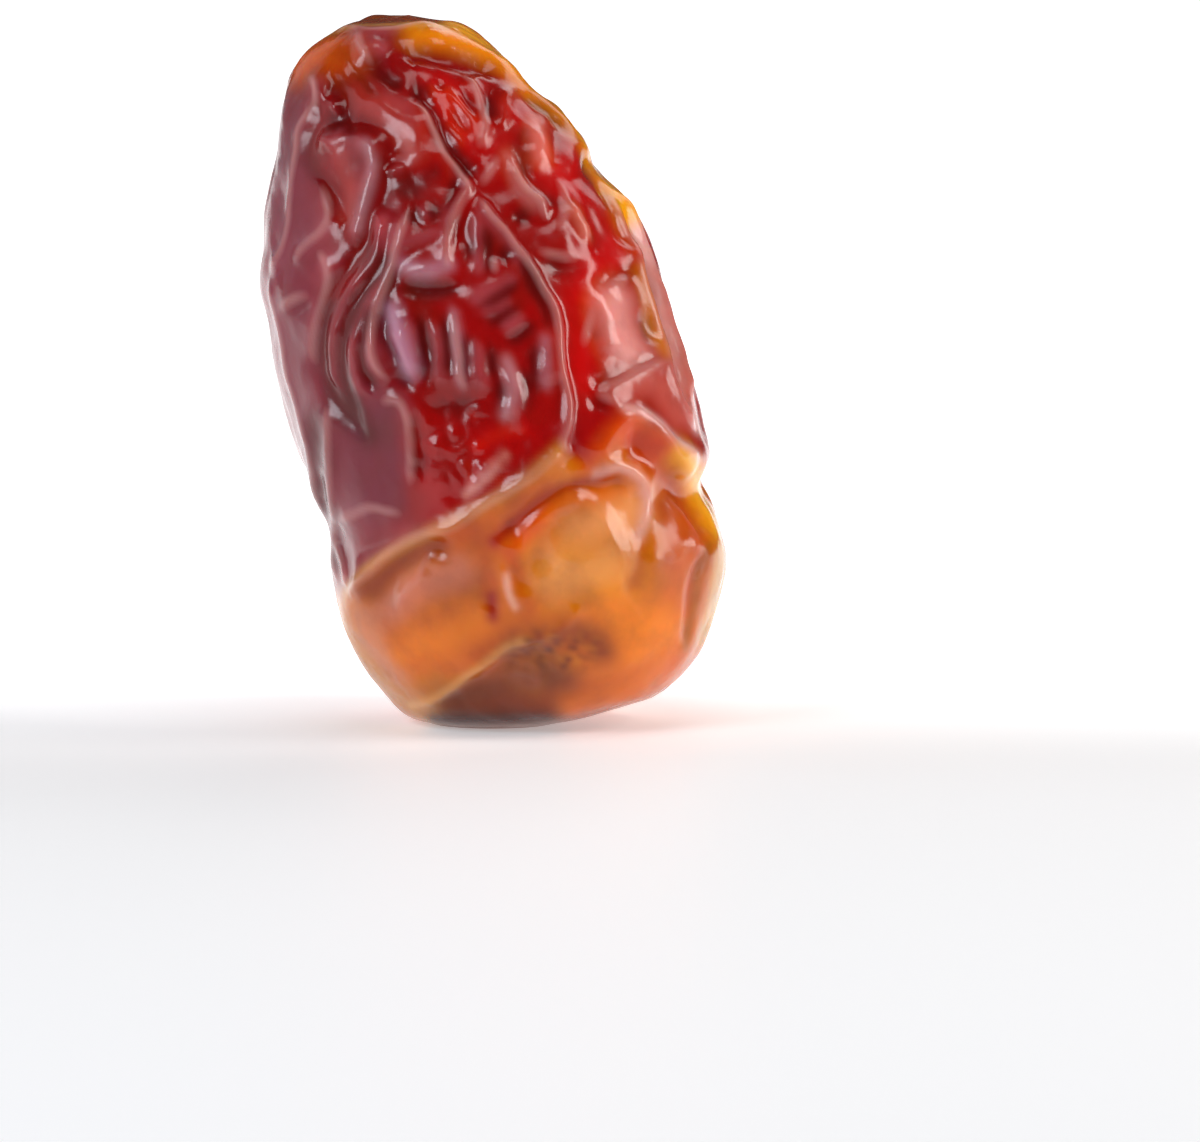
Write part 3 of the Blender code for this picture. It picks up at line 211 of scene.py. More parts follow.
TIP_FOLDS = [
    ("crest", 0.24, 0.50, 0.0, [(-9.2, 39.5), (-8.2, 39.9), (-7.2, 39.6), (-5.5, 39.8), (-4.0, 40.1),
        (-2.6, 39.9)]),
    ("crest", 0.36, 0.45, -0.4, [(-7.5, 39.8), (-7.5, 39.0), (-7.2, 38.3), (-6.5, 37.7)]),
    ("roll", 0.29, 0.69, 0.0, [(-7.0, 39.2), (-6.5, 38.6), (-5.9, 38.1)]),
    ("crease", 0.29, 0.46, 0.0, [(-7.5, 38.6), (-7.0, 37.9), (-6.2, 37.2), (-5.4, 36.6), (-4.7, 36.1)]),
    ("crease", 0.23, 0.29, 0.0, [(-8.4, 38.3), (-7.7, 37.4), (-7.0, 36.5), (-6.3, 35.6)]),
    ("crease", 0.42, 0.63, 0.0, [(-5.6, 38.1), (-4.5, 38.4), (-3.0, 38.1), (-1.5, 37.8), (-0.4, 37.4),
        (0.0, 36.6)]),
    ("roll", 0.39, 1.03, 0.0, [(-5.0, 39.4), (-2.8, 39.2), (-0.9, 38.6), (0.6, 37.6), (2.0, 36.3),
        (3.2, 35.3), (4.2, 34.4), (5.0, 33.3), (5.5, 32.3)]),
]
HEART_FOLDS = [
    ("crest", 0.36, 0.35, 0.3, [(-1.9, 37.3), (-1.3, 36.8), (-0.8, 35.9), (-0.5, 34.9), (-0.4, 34.0),
        (-0.6, 33.2), (-1.0, 32.6)]),
    ("roll", 0.26, 0.52, 0.0, [(-3.4, 37.0), (-3.5, 36.0), (-3.3, 35.3)]),
    ("crease", 0.16, 0.23, 0.0, [(-2.9, 36.9), (-2.9, 36.1)]),
    ("roll", 0.23, 0.34, 0.0, [(-2.5, 36.9), (-2.3, 36.0), (-1.7, 35.2), (-1.2, 34.4), (-0.9, 33.5)]),
    ("crease", 0.16, 0.25, 0.0, [(-1.9, 36.7), (-1.5, 35.9), (-1.1, 35.0), (-0.8, 34.2)]),
    ("crease", 0.23, 0.32, 0.0, [(-2.7, 35.4), (-2.1, 34.9), (-1.6, 34.1), (-1.2, 33.5)]),
    ("roll", 0.29, 0.52, 0.0, [(-3.1, 34.9), (-2.5, 34.0), (-1.9, 33.1), (-1.5, 32.4)]),
    ("crease", 0.34, 0.46, 0.0, [(-4.7, 37.5), (-4.2, 36.4), (-3.7, 35.5), (-3.2, 34.6), (-2.8, 33.7),
        (-2.4, 32.9), (-1.8, 32.1), (-1.3, 31.4), (-0.9, 30.8)]),
    ("crest", 0.48, 0.30, 0.5, [(-4.5, 36.1), (-3.9, 35.1), (-3.5, 34.2), (-3.0, 33.2), (-2.6, 32.4),
        (-2.0, 31.7), (-1.5, 31.0), (-1.3, 30.5), (-1.6, 30.0), (-2.0, 29.2), (-2.3, 28.3), (-2.5, 27.3),
        (-2.6, 26.7), (-2.3, 26.2), (-1.8, 26.2)]),
    ("crease", 0.21, 0.34, 0.0, [(-2.5, 31.6), (-2.1, 31.0), (-2.1, 30.3), (-2.5, 29.4), (-2.8, 28.6)]),
    ("crest", 0.28, 0.28, 0.0, [(0.6, 32.8), (0.2, 32.0), (-0.3, 31.2), (-0.8, 30.4)]),
    ("crest", 0.52, 0.28, 0.6, [(-0.8, 30.4), (-0.5, 29.7), (0.0, 28.9), (0.8, 28.1), (1.4, 27.2),
        (1.9, 26.5), (2.4, 25.8), (2.9, 24.9), (3.4, 24.1), (3.7, 23.2), (3.8, 22.0), (3.9, 21.0),
        (4.0, 20.2), (4.2, 19.3), (4.35, 18.3), (4.3, 17.3), (4.1, 16.6), (3.95, 16.1), (4.3, 15.8),
        (4.8, 15.7)]),
    ("crease", 0.23, 0.40, 0.0, [(0.9, 27.5), (1.9, 26.1), (2.4, 25.1), (3.0, 24.0), (3.3, 23.0),
        (3.4, 22.0)]),
    ("crease", 0.21, 0.34, 0.0, [(3.65, 20.6), (3.85, 19.4), (3.9, 18.2), (3.8, 17.1)]),
    ("crest", 0.48, 0.35, 0.4, [(0.9, 32.9), (1.2, 31.9), (1.6, 31.0), (2.1, 30.3), (2.7, 29.8),
        (2.9, 29.1), (3.1, 28.5)]),
    ("crest", 0.17, 0.25, 0.0, [(3.1, 28.5), (3.5, 28.4), (3.95, 28.6), (4.1, 29.3), (4.1, 30.1),
        (3.8, 30.9), (3.3, 31.0)]),
    ("crease", 0.11, 0.52, 0.0, [(3.5, 30.5), (3.5, 29.2)]),
    ("roll", 0.29, 0.52, 0.0, [(1.6, 36.4), (0.8, 35.9), (0.5, 35.1), (0.5, 34.4), (0.9, 33.7)]),
    ("crease", 0.26, 0.37, 0.0, [(0.1, 36.6), (-0.1, 35.8), (-0.1, 34.8), (0.1, 33.9)]),
    ("roll", 0.25, 0.69, 0.0, [(2.9, 34.3), (2.7, 33.5), (2.5, 32.7), (2.4, 31.9)]),
    ("crease", 0.14, 0.40, 0.0, [(1.9, 34.7), (1.8, 33.6), (1.8, 32.6), (2.0, 31.6), (2.5, 30.8)]),
    ("crease", 0.16, 0.40, 0.0, [(3.5, 34.6), (3.6, 33.6), (3.6, 32.6), (3.3, 31.8)]),
    ("crease", 0.20, 0.46, 0.0, [(1.4, 36.2), (2.0, 35.7), (2.9, 35.1), (3.7, 34.3), (4.2, 33.4)]),
    ("roll", 0.17, 0.57, 0.0, [(4.8, 33.6), (4.8, 32.7), (4.6, 31.9), (4.1, 31.3)]),
    ("crease", 0.14, 0.40, 0.0, [(5.4, 32.9), (5.4, 32.0), (5.2, 31.0)]),
    ("roll", 0.49, 0.52, 0.0, [(4.2, 30.2), (4.5, 29.5), (4.9, 28.8), (5.4, 28.0), (5.6, 27.4)]),
    ("crease", 0.13, 0.21, 0.0, [(4.7, 29.3), (5.0, 28.8), (5.2, 28.4)]),
    ("crease", 0.16, 0.40, 0.0, [(4.9, 30.6), (5.5, 29.5), (5.9, 28.4), (6.0, 27.3), (5.6, 26.8)]),
    ("roll", 0.23, 0.69, 0.0, [(2.3, 27.7), (3.4, 27.9), (4.4, 27.6), (5.2, 27.1)]),
    ("crest", 0.20, 0.35, 0.0, [(2.2, 27.0), (3.2, 26.9), (4.4, 26.7), (5.3, 26.8)]),
    ("crease", 0.21, 0.46, 0.0, [(2.4, 26.4), (3.6, 26.2), (4.8, 26.1), (5.8, 26.3)]),
    ("crease", 0.18, 0.34, 0.0, [(1.3, 28.3), (1.8, 29.1), (2.5, 29.5)]),
]
RIGHT_FOLDS = [
    ("crease", 0.26, 0.40, 0.0, [(7.9, 27.0), (7.7, 26.1), (6.9, 25.7), (6.1, 25.3), (5.6, 24.9)]),
    ("crest", 0.19, 0.40, 0.0, [(8.0, 26.0), (7.2, 25.3), (6.3, 25.0)]),
    ("crease", 0.34, 0.46, 0.0, [(6.1, 31.6), (6.5, 30.4), (7.1, 29.1), (7.6, 27.9), (7.9, 27.0)]),
    ("roll", 0.32, 1.30, 0.0, [(7.0, 24.6), (6.6, 23.5), (6.7, 22.0), (6.8, 20.9)]),
    ("crease", 0.18, 0.40, 0.0, [(5.9, 24.7), (5.7, 23.5), (5.6, 22.3), (5.7, 21.0)]),
    ("crease", 0.26, 0.69, 0.0, [(8.4, 24.3), (8.7, 23.2), (9.0, 22.3), (9.3, 21.5)]),
    ("crease", 0.31, 0.37, 0.0, [(9.6, 21.3), (8.4, 20.7), (7.3, 20.1), (6.2, 19.6), (5.5, 19.4)]),
    ("crest", 0.26, 0.30, 0.0, [(9.9, 20.8), (9.2, 20.6), (8.2, 20.1), (7.0, 19.5), (5.7, 19.1)]),
    ("crest", 0.22, 0.30, 0.0, [(5.7, 19.1), (6.5, 18.7), (7.4, 18.1)]),
    ("crease", 0.23, 0.37, 0.0, [(5.3, 18.9), (6.0, 18.4), (6.9, 17.9)]),
    ("crest", 0.48, 0.30, 0.0, [(6.5, 31.0), (7.0, 29.6), (7.6, 28.3), (8.1, 27.2), (8.25, 26.0),
        (8.6, 25.0), (9.0, 23.9), (9.3, 22.9), (9.7, 22.1), (9.8, 21.0), (10.0, 20.2), (10.3, 19.5),
        (10.8, 18.5), (11.2, 17.7), (11.6, 17.0)]),
    ("crest", 0.50, 0.30, 0.0, [(7.2, 30.9), (7.8, 29.7), (8.5, 28.3), (8.8, 27.2), (9.1, 26.1),
        (9.5, 24.9), (9.9, 23.7), (10.3, 22.5), (10.8, 21.0), (11.2, 19.6), (11.5, 18.6)]),
    ("crease", 0.30, 0.38, 0.0, [(7.0, 30.3), (8.2, 27.7), (8.8, 25.7), (9.6, 23.1), (10.4, 20.6),
        (11.2, 18.2)]),
    ("crest", 0.48, 0.35, 0.0, [(7.4, 18.1), (8.1, 18.1), (8.8, 17.6), (9.3, 17.0), (9.9, 16.4),
        (10.7, 15.9), (11.4, 15.5), (11.8, 15.4)]),
    ("roll", 0.55, 0.63, 0.0, [(5.4, 14.8), (5.9, 15.5), (6.4, 16.2), (6.9, 17.0), (7.4, 17.5),
        (8.0, 17.5), (8.7, 17.0), (9.3, 16.4), (10.0, 15.7), (10.8, 15.0), (11.5, 14.3)]),
    ("crease", 0.36, 0.80, 0.0, [(7.3, 16.1), (8.2, 15.7), (9.2, 14.9), (10.1, 13.9), (10.9, 12.9),
        (11.7, 11.9), (12.4, 11.0)]),
    ("crest", 0.52, 0.35, -0.3, [(5.7, 14.4), (6.4, 14.4), (7.1, 14.75), (7.9, 14.6), (8.5, 14.2),
        (8.8, 13.6), (8.7, 12.8), (8.5, 11.8), (8.4, 10.8)]),
    ("crease", 0.47, 0.48, 0.0, [(0.2, 10.7), (1.0, 11.3), (2.0, 12.2), (3.0, 13.0), (4.2, 13.6),
        (5.3, 13.7), (6.5, 13.7), (7.5, 13.9), (8.1, 13.9)]),
    ("roll", 0.39, 2.76, 0.0, [(3.5, 8.5), (5.5, 10.5), (7.4, 11.8)]),
    ("crest", 0.32, 0.40, 0.0, [(9.3, 13.9), (10.2, 12.9), (11.0, 12.0), (11.5, 11.2), (11.5, 10.4),
        (11.3, 9.4)]),
    ("crease", 0.16, 0.46, 0.0, [(8.8, 12.4), (8.6, 11.0), (8.5, 9.8), (8.3, 8.8), (7.8, 7.9),
        (7.3, 7.2)]),
    ("crease", 0.26, 0.37, 0.0, [(12.3, 10.2), (11.9, 9.4), (11.5, 8.4), (11.25, 7.4), (11.1, 6.4),
        (11.1, 5.4), (11.1, 4.6)]),
    ("crease", 0.18, 0.34, 0.0, [(11.8, 12.2), (12.3, 11.5), (12.8, 11.0)]),
]
SHOULDER_FOLDS = [
    ("crest", 0.56, 0.42, 0.0, [(-8.4, 7.5), (-7.5, 8.2), (-6.6, 8.9), (-5.8, 9.8), (-5.0, 10.5),
        (-4.0, 11.0), (-3.0, 11.3), (-2.2, 11.4), (-1.5, 11.8), (-0.8, 12.4), (0.0, 12.9), (1.0, 13.5),
        (2.0, 14.1), (2.8, 14.7), (3.5, 15.4), (3.9, 15.9)]),
    ("crease", 0.31, 0.57, 0.0, [(-7.3, 7.1), (-6.3, 7.8), (-5.5, 8.7), (-4.7, 9.6), (-3.7, 10.2),
        (-2.6, 10.3), (-1.7, 10.8)]),
    ("roll", 0.20, 0.52, 0.0, [(-1.0, 11.5), (0.5, 12.2), (2.0, 13.1), (3.5, 14.1), (4.8, 14.5)]),
    ("crest", 0.28, 0.40, 0.0, [(-5.5, 6.0), (-5.1, 7.2), (-4.6, 8.0), (-4.0, 8.6), (-3.8, 9.3),
        (-3.3, 10.0), (-2.9, 10.6)]),
    ("crest", 0.40, 0.35, 0.0, [(0.4, 9.6), (0.7, 8.8), (0.9, 8.0), (1.2, 7.2), (1.6, 6.6)]),
    ("crease", 0.26, 0.57, 0.0, [(0.1, 9.8), (-0.2, 8.6), (-0.1, 7.4), (0.1, 6.3)]),
    ("crease", 0.29, 0.52, 0.0, [(1.0, 9.9), (1.4, 9.0), (1.9, 8.1), (2.2, 7.4)]),
    ("crease", 0.29, 0.69, 0.0, [(2.2, 8.5), (2.7, 9.6), (3.3, 10.8), (4.2, 11.9), (5.4, 12.6),
        (6.8, 13.0)]),
    ("roll", 0.20, 0.46, 0.0, [(1.3, 10.6), (2.1, 11.4), (3.2, 12.4), (4.6, 13.1), (6.0, 13.3)]),
    ("crest", 0.32, 0.28, 0.0, [(-1.8, 13.3), (-1.2, 13.6), (-0.5, 14.3), (0.2, 15.1), (0.9, 15.8)]),
]
LEFT_FOLDS = [
    ("crest", 0.32, 0.50, 0.0, [(-10.6, 37.1), (-10.0, 36.7), (-9.9, 35.8), (-10.3, 35.0), (-10.9, 34.0),
        (-11.0, 32.8), (-11.2, 31.2), (-11.4, 29.8), (-11.5, 28.6), (-11.8, 27.3), (-12.3, 26.5),
        (-12.7, 25.9)]),
    ("crease", 0.34, 0.58, 0.0, [(-9.7, 36.5), (-9.2, 36.9), (-8.7, 36.4), (-8.4, 35.5), (-8.4, 34.7),
        (-9.0, 34.4), (-9.6, 34.5), (-10.0, 34.0), (-10.3, 33.2), (-10.2, 32.4), (-9.7, 31.6),
        (-9.2, 30.9), (-8.7, 30.2), (-8.4, 29.4), (-8.3, 28.5), (-8.3, 27.5)]),
    ("crease", 0.21, 0.34, 0.0, [(-9.8, 36.2), (-9.9, 35.3), (-9.7, 34.6)]),
    ("roll", 0.26, 0.37, 0.0, [(-9.3, 35.9), (-8.9, 35.4), (-9.2, 34.9)]),
    ("roll", 0.20, 0.32, 0.0, [(-8.5, 29.3), (-8.7, 28.2)]),
    ("roll", 0.42, 0.60, 0.0, [(-9.7, 32.5), (-9.5, 33.2), (-8.8, 33.5), (-8.0, 33.6), (-7.1, 33.3),
        (-6.5, 32.6), (-6.5, 31.5), (-6.9, 30.3), (-7.2, 29.2), (-7.5, 28.0), (-7.9, 26.9)]),
    ("crease", 0.11, 0.18, 0.0, [(-7.3, 28.9), (-7.45, 28.0)]),
    ("crease", 0.22, 0.60, 0.0, [(-9.1, 34.0), (-8.2, 34.0), (-7.4, 34.3), (-6.4, 33.9), (-5.6, 33.4),
        (-5.1, 32.6), (-5.0, 31.6)]),
    ("crease", 0.36, 0.50, 0.0, [(-6.2, 33.3), (-6.0, 32.2), (-6.1, 31.1), (-6.4, 30.1), (-6.8, 29.2),
        (-6.95, 28.2), (-7.2, 27.2), (-7.8, 26.3), (-8.4, 25.6), (-8.9, 24.8), (-9.3, 23.8), (-9.5, 22.5),
        (-9.6, 21.2), (-9.5, 20.2), (-9.2, 19.3), (-8.8, 18.6), (-8.2, 17.8), (-7.5, 17.0),
        (-6.7, 16.1)]),
    ("roll", 0.33, 0.46, 0.0, [(-5.55, 32.0), (-5.5, 31.2)]),
    ("roll", 0.45, 1.00, 0.0, [(-7.3, 36.2), (-6.2, 35.3), (-5.2, 34.4), (-4.5, 33.4), (-4.3, 32.4),
        (-4.6, 31.3)]),
    ("crease", 0.15, 0.57, 0.0, [(-6.2, 30.6), (-5.2, 30.6), (-4.3, 30.8), (-3.6, 31.2)]),
    ("crest", 0.24, 0.40, 0.0, [(-9.9, 31.4), (-9.4, 30.1), (-9.2, 28.9), (-9.6, 28.1), (-10.3, 27.5),
        (-10.9, 26.8), (-11.3, 26.3)]),
    ("crest", 0.28, 0.40, 0.0, [(-10.0, 24.7), (-10.8, 24.5), (-11.5, 24.1), (-12.0, 23.7)]),
    ("crease", 0.16, 0.40, 0.0, [(-9.9, 24.2), (-10.8, 23.9), (-11.6, 23.4)]),
    ("crest", 0.28, 0.40, 0.0, [(-10.0, 27.2), (-9.4, 26.6), (-9.2, 25.8), (-9.5, 24.6), (-9.9, 23.0),
        (-10.1, 21.4), (-10.0, 20.2)]),
    ("crest", 0.32, 0.40, 0.0, [(-12.7, 25.8), (-12.4, 24.6), (-12.0, 23.0), (-11.7, 21.5), (-11.5, 20.0),
        (-11.2, 18.9), (-10.8, 17.8), (-10.5, 16.8), (-10.3, 15.6), (-10.1, 14.5), (-9.8, 13.2),
        (-9.4, 12.2), (-9.2, 11.0), (-9.0, 9.5), (-8.7, 8.0)]),
    ("crest", 0.28, 0.28, 0.0, [(-9.3, 18.6), (-9.15, 17.5), (-9.15, 16.0), (-9.1, 14.2), (-9.0, 12.5),
        (-8.8, 11.0), (-8.6, 9.8), (-8.3, 8.6), (-8.1, 7.8)]),
    ("crease", 0.16, 0.34, 0.0, [(-9.7, 15.0), (-9.6, 13.5), (-9.3, 12.2)]),
    ("crest", 0.20, 0.40, 0.0, [(-8.8, 11.8), (-7.8, 12.2), (-6.8, 12.6), (-5.8, 12.4), (-4.8, 12.2)]),
    ("crest", 0.26, 0.35, 0.0, [(-6.4, 18.1), (-5.8, 18.6), (-5.1, 18.5), (-4.7, 17.5), (-4.55, 16.0),
        (-4.5, 14.5), (-4.7, 13.4)]),
    ("crease", 0.26, 0.37, 0.0, [(-4.4, 18.4), (-4.2, 17.0), (-4.1, 15.5), (-4.0, 14.5), (-4.2, 13.5)]),
]
MIDDLE_FOLDS = [
    ("roll", 0.28, 0.49, 0.0, [(-6.2, 29.6), (-6.3, 28.6), (-6.4, 27.6), (-6.7, 26.6), (-7.3, 25.7),
        (-8.0, 24.8), (-8.6, 23.7), (-8.9, 22.4), (-9.05, 21.0), (-8.95, 20.0), (-8.6, 19.2)]),
    ("crease", 0.22, 0.39, 0.0, [(-5.8, 28.9), (-5.9, 27.6), (-6.1, 26.5), (-6.8, 25.4), (-7.4, 24.3),
        (-7.9, 23.2), (-8.2, 22.2), (-8.35, 21.0), (-8.3, 19.9), (-8.0, 19.0), (-7.6, 18.0),
        (-7.1, 17.2)]),
    ("roll", 0.22, 0.41, 0.0, [(-6.5, 25.4), (-7.0, 24.2), (-7.4, 23.2), (-7.7, 22.2), (-7.8, 21.0),
        (-7.6, 20.0), (-7.2, 19.2), (-6.6, 18.7)]),
    ("crease", 0.17, 0.29, 0.0, [(-6.4, 24.7), (-6.8, 23.6), (-7.15, 22.4), (-7.3, 21.0), (-7.1, 20.1),
        (-6.6, 19.5), (-5.9, 19.1)]),
    ("crest", 0.34, 0.28, 0.0, [(-4.5, 29.8), (-4.8, 28.8), (-5.1, 27.9), (-5.4, 27.0), (-5.6, 26.2),
        (-5.9, 25.2), (-6.2, 24.4), (-6.5, 23.6), (-6.7, 22.6), (-6.7, 21.6), (-6.5, 20.7), (-6.1, 20.1),
        (-5.5, 19.5)]),
    ("crease", 0.28, 0.32, 0.0, [(-5.1, 27.0), (-5.5, 25.7), (-5.9, 24.4), (-6.1, 23.3), (-5.95, 22.3),
        (-5.5, 21.4), (-5.1, 20.5), (-4.7, 19.6), (-4.3, 18.8)]),
    ("roll", 0.60, 0.80, 0.0, [(-5.5, 23.5), (-5.15, 22.5), (-4.75, 21.4), (-4.5, 20.4), (-4.3, 19.4)]),
    ("crease", 0.21, 0.36, 0.0, [(-4.4, 24.0), (-4.0, 23.0), (-3.75, 22.0), (-3.65, 21.0), (-3.7, 20.0),
        (-3.9, 19.0)]),
    ("roll", 0.28, 0.68, 0.0, [(-5.2, 26.1), (-4.4, 25.9), (-3.4, 25.9), (-2.6, 26.1)]),
    ("roll", 0.17, 1.51, 0.0, [(-4.2, 28.2), (-3.8, 27.2)]),
    ("crease", 0.30, 0.43, 0.0, [(-5.7, 24.8), (-4.6, 24.9), (-3.3, 24.8), (-2.1, 24.9), (-1.3, 25.2)]),
    ("roll", 0.25, 0.47, 0.0, [(-3.8, 29.8), (-3.7, 29.1), (-3.8, 28.5)]),
    ("crease", 0.14, 0.29, 0.0, [(-4.3, 29.9), (-4.3, 28.9), (-4.0, 28.1)]),
    ("crease", 0.14, 0.29, 0.0, [(-3.3, 30.1), (-3.2, 29.2), (-3.4, 28.2)]),
    ("crest", 0.37, 0.30, 0.0, [(-1.9, 24.1), (-2.1, 23.0), (-2.0, 22.0), (-1.8, 21.0), (-1.8, 20.2),
        (-1.6, 19.5), (-1.4, 18.7)]),
    ("crease", 0.18, 0.32, 0.0, [(-2.6, 23.9), (-2.5, 22.8), (-2.4, 21.6), (-2.3, 20.4), (-2.1, 19.2)]),
    ("crease", 0.18, 0.29, 0.0, [(-1.4, 23.0), (-1.5, 22.0), (-1.4, 21.0), (-1.35, 20.0), (-1.1, 19.0)]),
    ("roll", 0.23, 0.49, 0.0, [(-3.2, 23.5), (-3.05, 22.4), (-2.9, 21.2), (-2.8, 20.0), (-2.9, 19.0)]),
    ("roll", 0.26, 0.49, 0.0, [(-0.9, 22.7), (-0.9, 21.6), (-0.75, 20.4), (-0.5, 19.4), (-0.3, 18.7)]),
    ("crease", 0.18, 0.36, 0.0, [(-0.2, 22.4), (0.0, 21.2), (0.1, 20.2), (0.15, 19.2)]),
    ("roll", 0.16, 0.45, 0.0, [(-1.9, 24.3), (-0.9, 24.3), (0.2, 24.9), (1.1, 25.4), (1.8, 26.1)]),
    ("crease", 0.11, 0.25, 0.0, [(-1.3, 23.8), (-0.4, 23.95), (0.6, 24.5), (1.4, 25.1), (2.0, 25.7)]),
    ("roll", 0.14, 0.40, 0.0, [(-1.2, 23.4), (-0.2, 23.55), (0.8, 24.1), (1.7, 24.8)]),
    ("crease", 0.13, 0.33, 0.0, [(-0.9, 22.95), (0.2, 23.1), (1.2, 23.7), (2.1, 24.4)]),
    ("roll", 0.17, 0.52, 0.0, [(0.1, 22.3), (0.9, 22.7), (1.6, 23.2), (2.1, 23.8)]),
    ("crease", 0.18, 0.36, 0.0, [(0.3, 21.7), (1.3, 22.0), (2.2, 22.7), (2.6, 23.5)]),
    ("roll", 0.42, 0.68, 0.0, [(0.8, 21.0), (1.1, 20.1), (1.35, 19.2), (1.4, 18.4), (1.0, 17.7),
        (0.6, 17.1)]),
    ("crease", 0.16, 0.36, 0.0, [(0.35, 20.6), (0.55, 19.4), (0.6, 18.4), (0.1, 17.5)]),
    ("crease", 0.18, 0.36, 0.0, [(1.75, 21.0), (1.95, 20.0), (2.1, 19.0), (2.0, 18.0), (1.5, 17.1)]),
    ("roll", 0.28, 0.55, 0.0, [(3.05, 22.3), (3.15, 21.2), (3.15, 20.0), (3.05, 18.9)]),
    ("crease", 0.17, 0.32, 0.0, [(2.55, 22.6), (2.5, 21.0), (2.5, 19.6), (2.4, 18.4)]),
    ("crease", 0.22, 0.53, 0.0, [(-4.0, 18.6), (-3.0, 18.2), (-2.0, 18.1), (-1.0, 18.1), (0.0, 18.2)]),
    ("roll", 0.22, 0.41, 0.0, [(-1.0, 29.6), (-0.8, 28.6), (-0.65, 27.6), (-0.6, 26.6), (-0.8, 25.8),
        (-1.2, 25.3)]),
    ("crease", 0.25, 0.43, 0.0, [(-1.3, 29.8), (-1.6, 28.8), (-1.9, 27.7), (-2.1, 26.9)]),
    ("crease", 0.17, 0.34, 0.0, [(-1.15, 28.4), (-1.25, 27.2), (-1.5, 26.2)]),
    ("crease", 0.16, 0.30, 0.0, [(-0.5, 29.0), (-0.3, 28.0), (-0.15, 27.0), (-0.2, 26.0), (-0.5, 25.2)]),
    ("crest", 0.19, 0.20, 0.0, [(0.0, 26.8), (0.15, 26.2), (0.3, 25.6)]),
    ("crease", 0.17, 0.34, 0.0, [(0.6, 27.6), (0.8, 26.8), (0.6, 26.0)]),
    ("crest", 0.14, 0.30, 0.0, [(5.8, 24.4), (5.6, 23.2), (5.3, 22.2), (5.0, 21.2)]),
]


def nearest_on_line(points, line):
    """For each point: distance to the line, share of the way along it, nearest place and direction."""
    start, step = line[:-1], np.diff(line, axis=0)
    best = np.full(len(points), 1e9)
    along = np.zeros(len(points))
    place, direction = np.zeros((len(points), 3)), np.zeros((len(points), 3))
    for i, (a, d) in enumerate(zip(start, step)):
        t = np.clip((points - a) @ d / max(d @ d, 1e-12), 0.0, 1.0)
        near = a + t[:, None] * d
        gap = np.linalg.norm(points - near, axis=1)
        closer = gap < best
        best = np.where(closer, gap, best)
        along = np.where(closer, (i + t) / len(step), along)
        place[closer], direction[closer] = near[closer], d / max(np.linalg.norm(d), 1e-12)
    return best, along, place, direction


def fold_shape(kind, width, lean, seen):
    """How strongly one fold shows at each point of the skin, from 0 to 1."""
    line = curve_through(front_points(seen), 4)
    shape = np.zeros(len(skin))
    reach = FARTHEST_FLANK * width
    near = ((skin > line.min(0) - reach) & (skin < line.max(0) + reach)).all(axis=1)
    if not near.any():
        return shape
    gap, along, place, direction = nearest_on_line(skin[near], line)
    side = np.einsum("ij,ij->i", np.cross(normals[near], direction), skin[near] - place)
    length = np.linalg.norm(np.diff(line, axis=0), axis=1).sum()
    fade = smoothstep(0.0, min(FADE_LENGTH, 0.45 * length), np.minimum(along, 1.0 - along) * length)
    swell = 1.0 + SWELL * np.sin(SWELLS_PER_LENGTH * along * length + 40.0 * width)
    flank = width * swell * (0.5 + 0.5 * fade) * (1.0 - lean * np.tanh(side / width))
    if kind == "roll":
        across = np.exp(-((gap / (ROLL_FLANK * flank)) ** 2))
    elif kind == "crease":
        across = np.exp(-((gap / (CREASE_FLANK * flank)) ** 2))
    else:
        pinched = np.exp((PINCH_ROUNDING - np.hypot(gap, PINCH_ROUNDING)) / (PINCH_FLANK * flank))
        across = 0.5 * pinched + 0.5 * np.exp(-((gap / (CREST_FOOT_FLANK * flank)) ** 2))
        # The pale line along the crest is a painted highlight.
        edge_line[near] = np.maximum(edge_line[near], np.exp(-((gap / CREST_HIGHLIGHT_WIDTH) ** 2)) * fade)
    shape[near] = across * fade
    return shape


rise = np.zeros(len(skin))
edge_line = np.zeros(len(skin))
creases = np.zeros(len(skin))
loose = np.zeros(len(skin))
for kind, height, width, lean, seen in (
    TIP_FOLDS + HEART_FOLDS + RIGHT_FOLDS + SHOULDER_FOLDS + LEFT_FOLDS + MIDDLE_FOLDS
):
    shape = fold_shape(kind, width, lean, seen)
    if kind == "crease":
        rise -= height * shape
        creases = np.maximum(creases, shape)
    else:
        rise += height * shape
        loose = np.maximum(loose, shape)

# The folds of the sides and back
# The same puckering where the front folds end: upright fingers of flesh with sharp creases between them, and
# a few broad facets where it was pressed while soft. They are noise, drawn out along the fruit.

# A height, a width and how many times as tall as wide, for the lumps, the finer lumps and the facets
LUMP_HEIGHT, LUMP_WIDTH, LUMP_STRETCH = 1.9, 2.5, 3.4
FINE_HEIGHT, FINE_WIDTH, FINE_STRETCH = 0.4, 1.5, 2.6
FACET_HEIGHT, FACET_WIDTH, FACET_STRETCH = 1.3, 6.5, 1.4
LUMP_MEAN = 0.25
BEND_HEIGHT, BEND_WIDTH = 1.2, 5.0
STEM_CALM = 0.75
STEM_CALM_STARTS, STEM_CALM_ENDS = 13.0, 5.0

# The small wrinkles of the front are highest in one patch, given as its middle and half size.
CRINKLE_PATCH = (-1.0, 16.2)
CRINKLE_HALF_SIZE = (4.2, 2.8)
WRINKLE_HEIGHT, WRINKLE_WIDTH, WRINKLE_STRETCH = 0.05, 0.9, 1.2
CRINKLE_HEIGHT = 0.3
DENT_HEIGHT, DENT_WIDTH = 0.22, 3.2


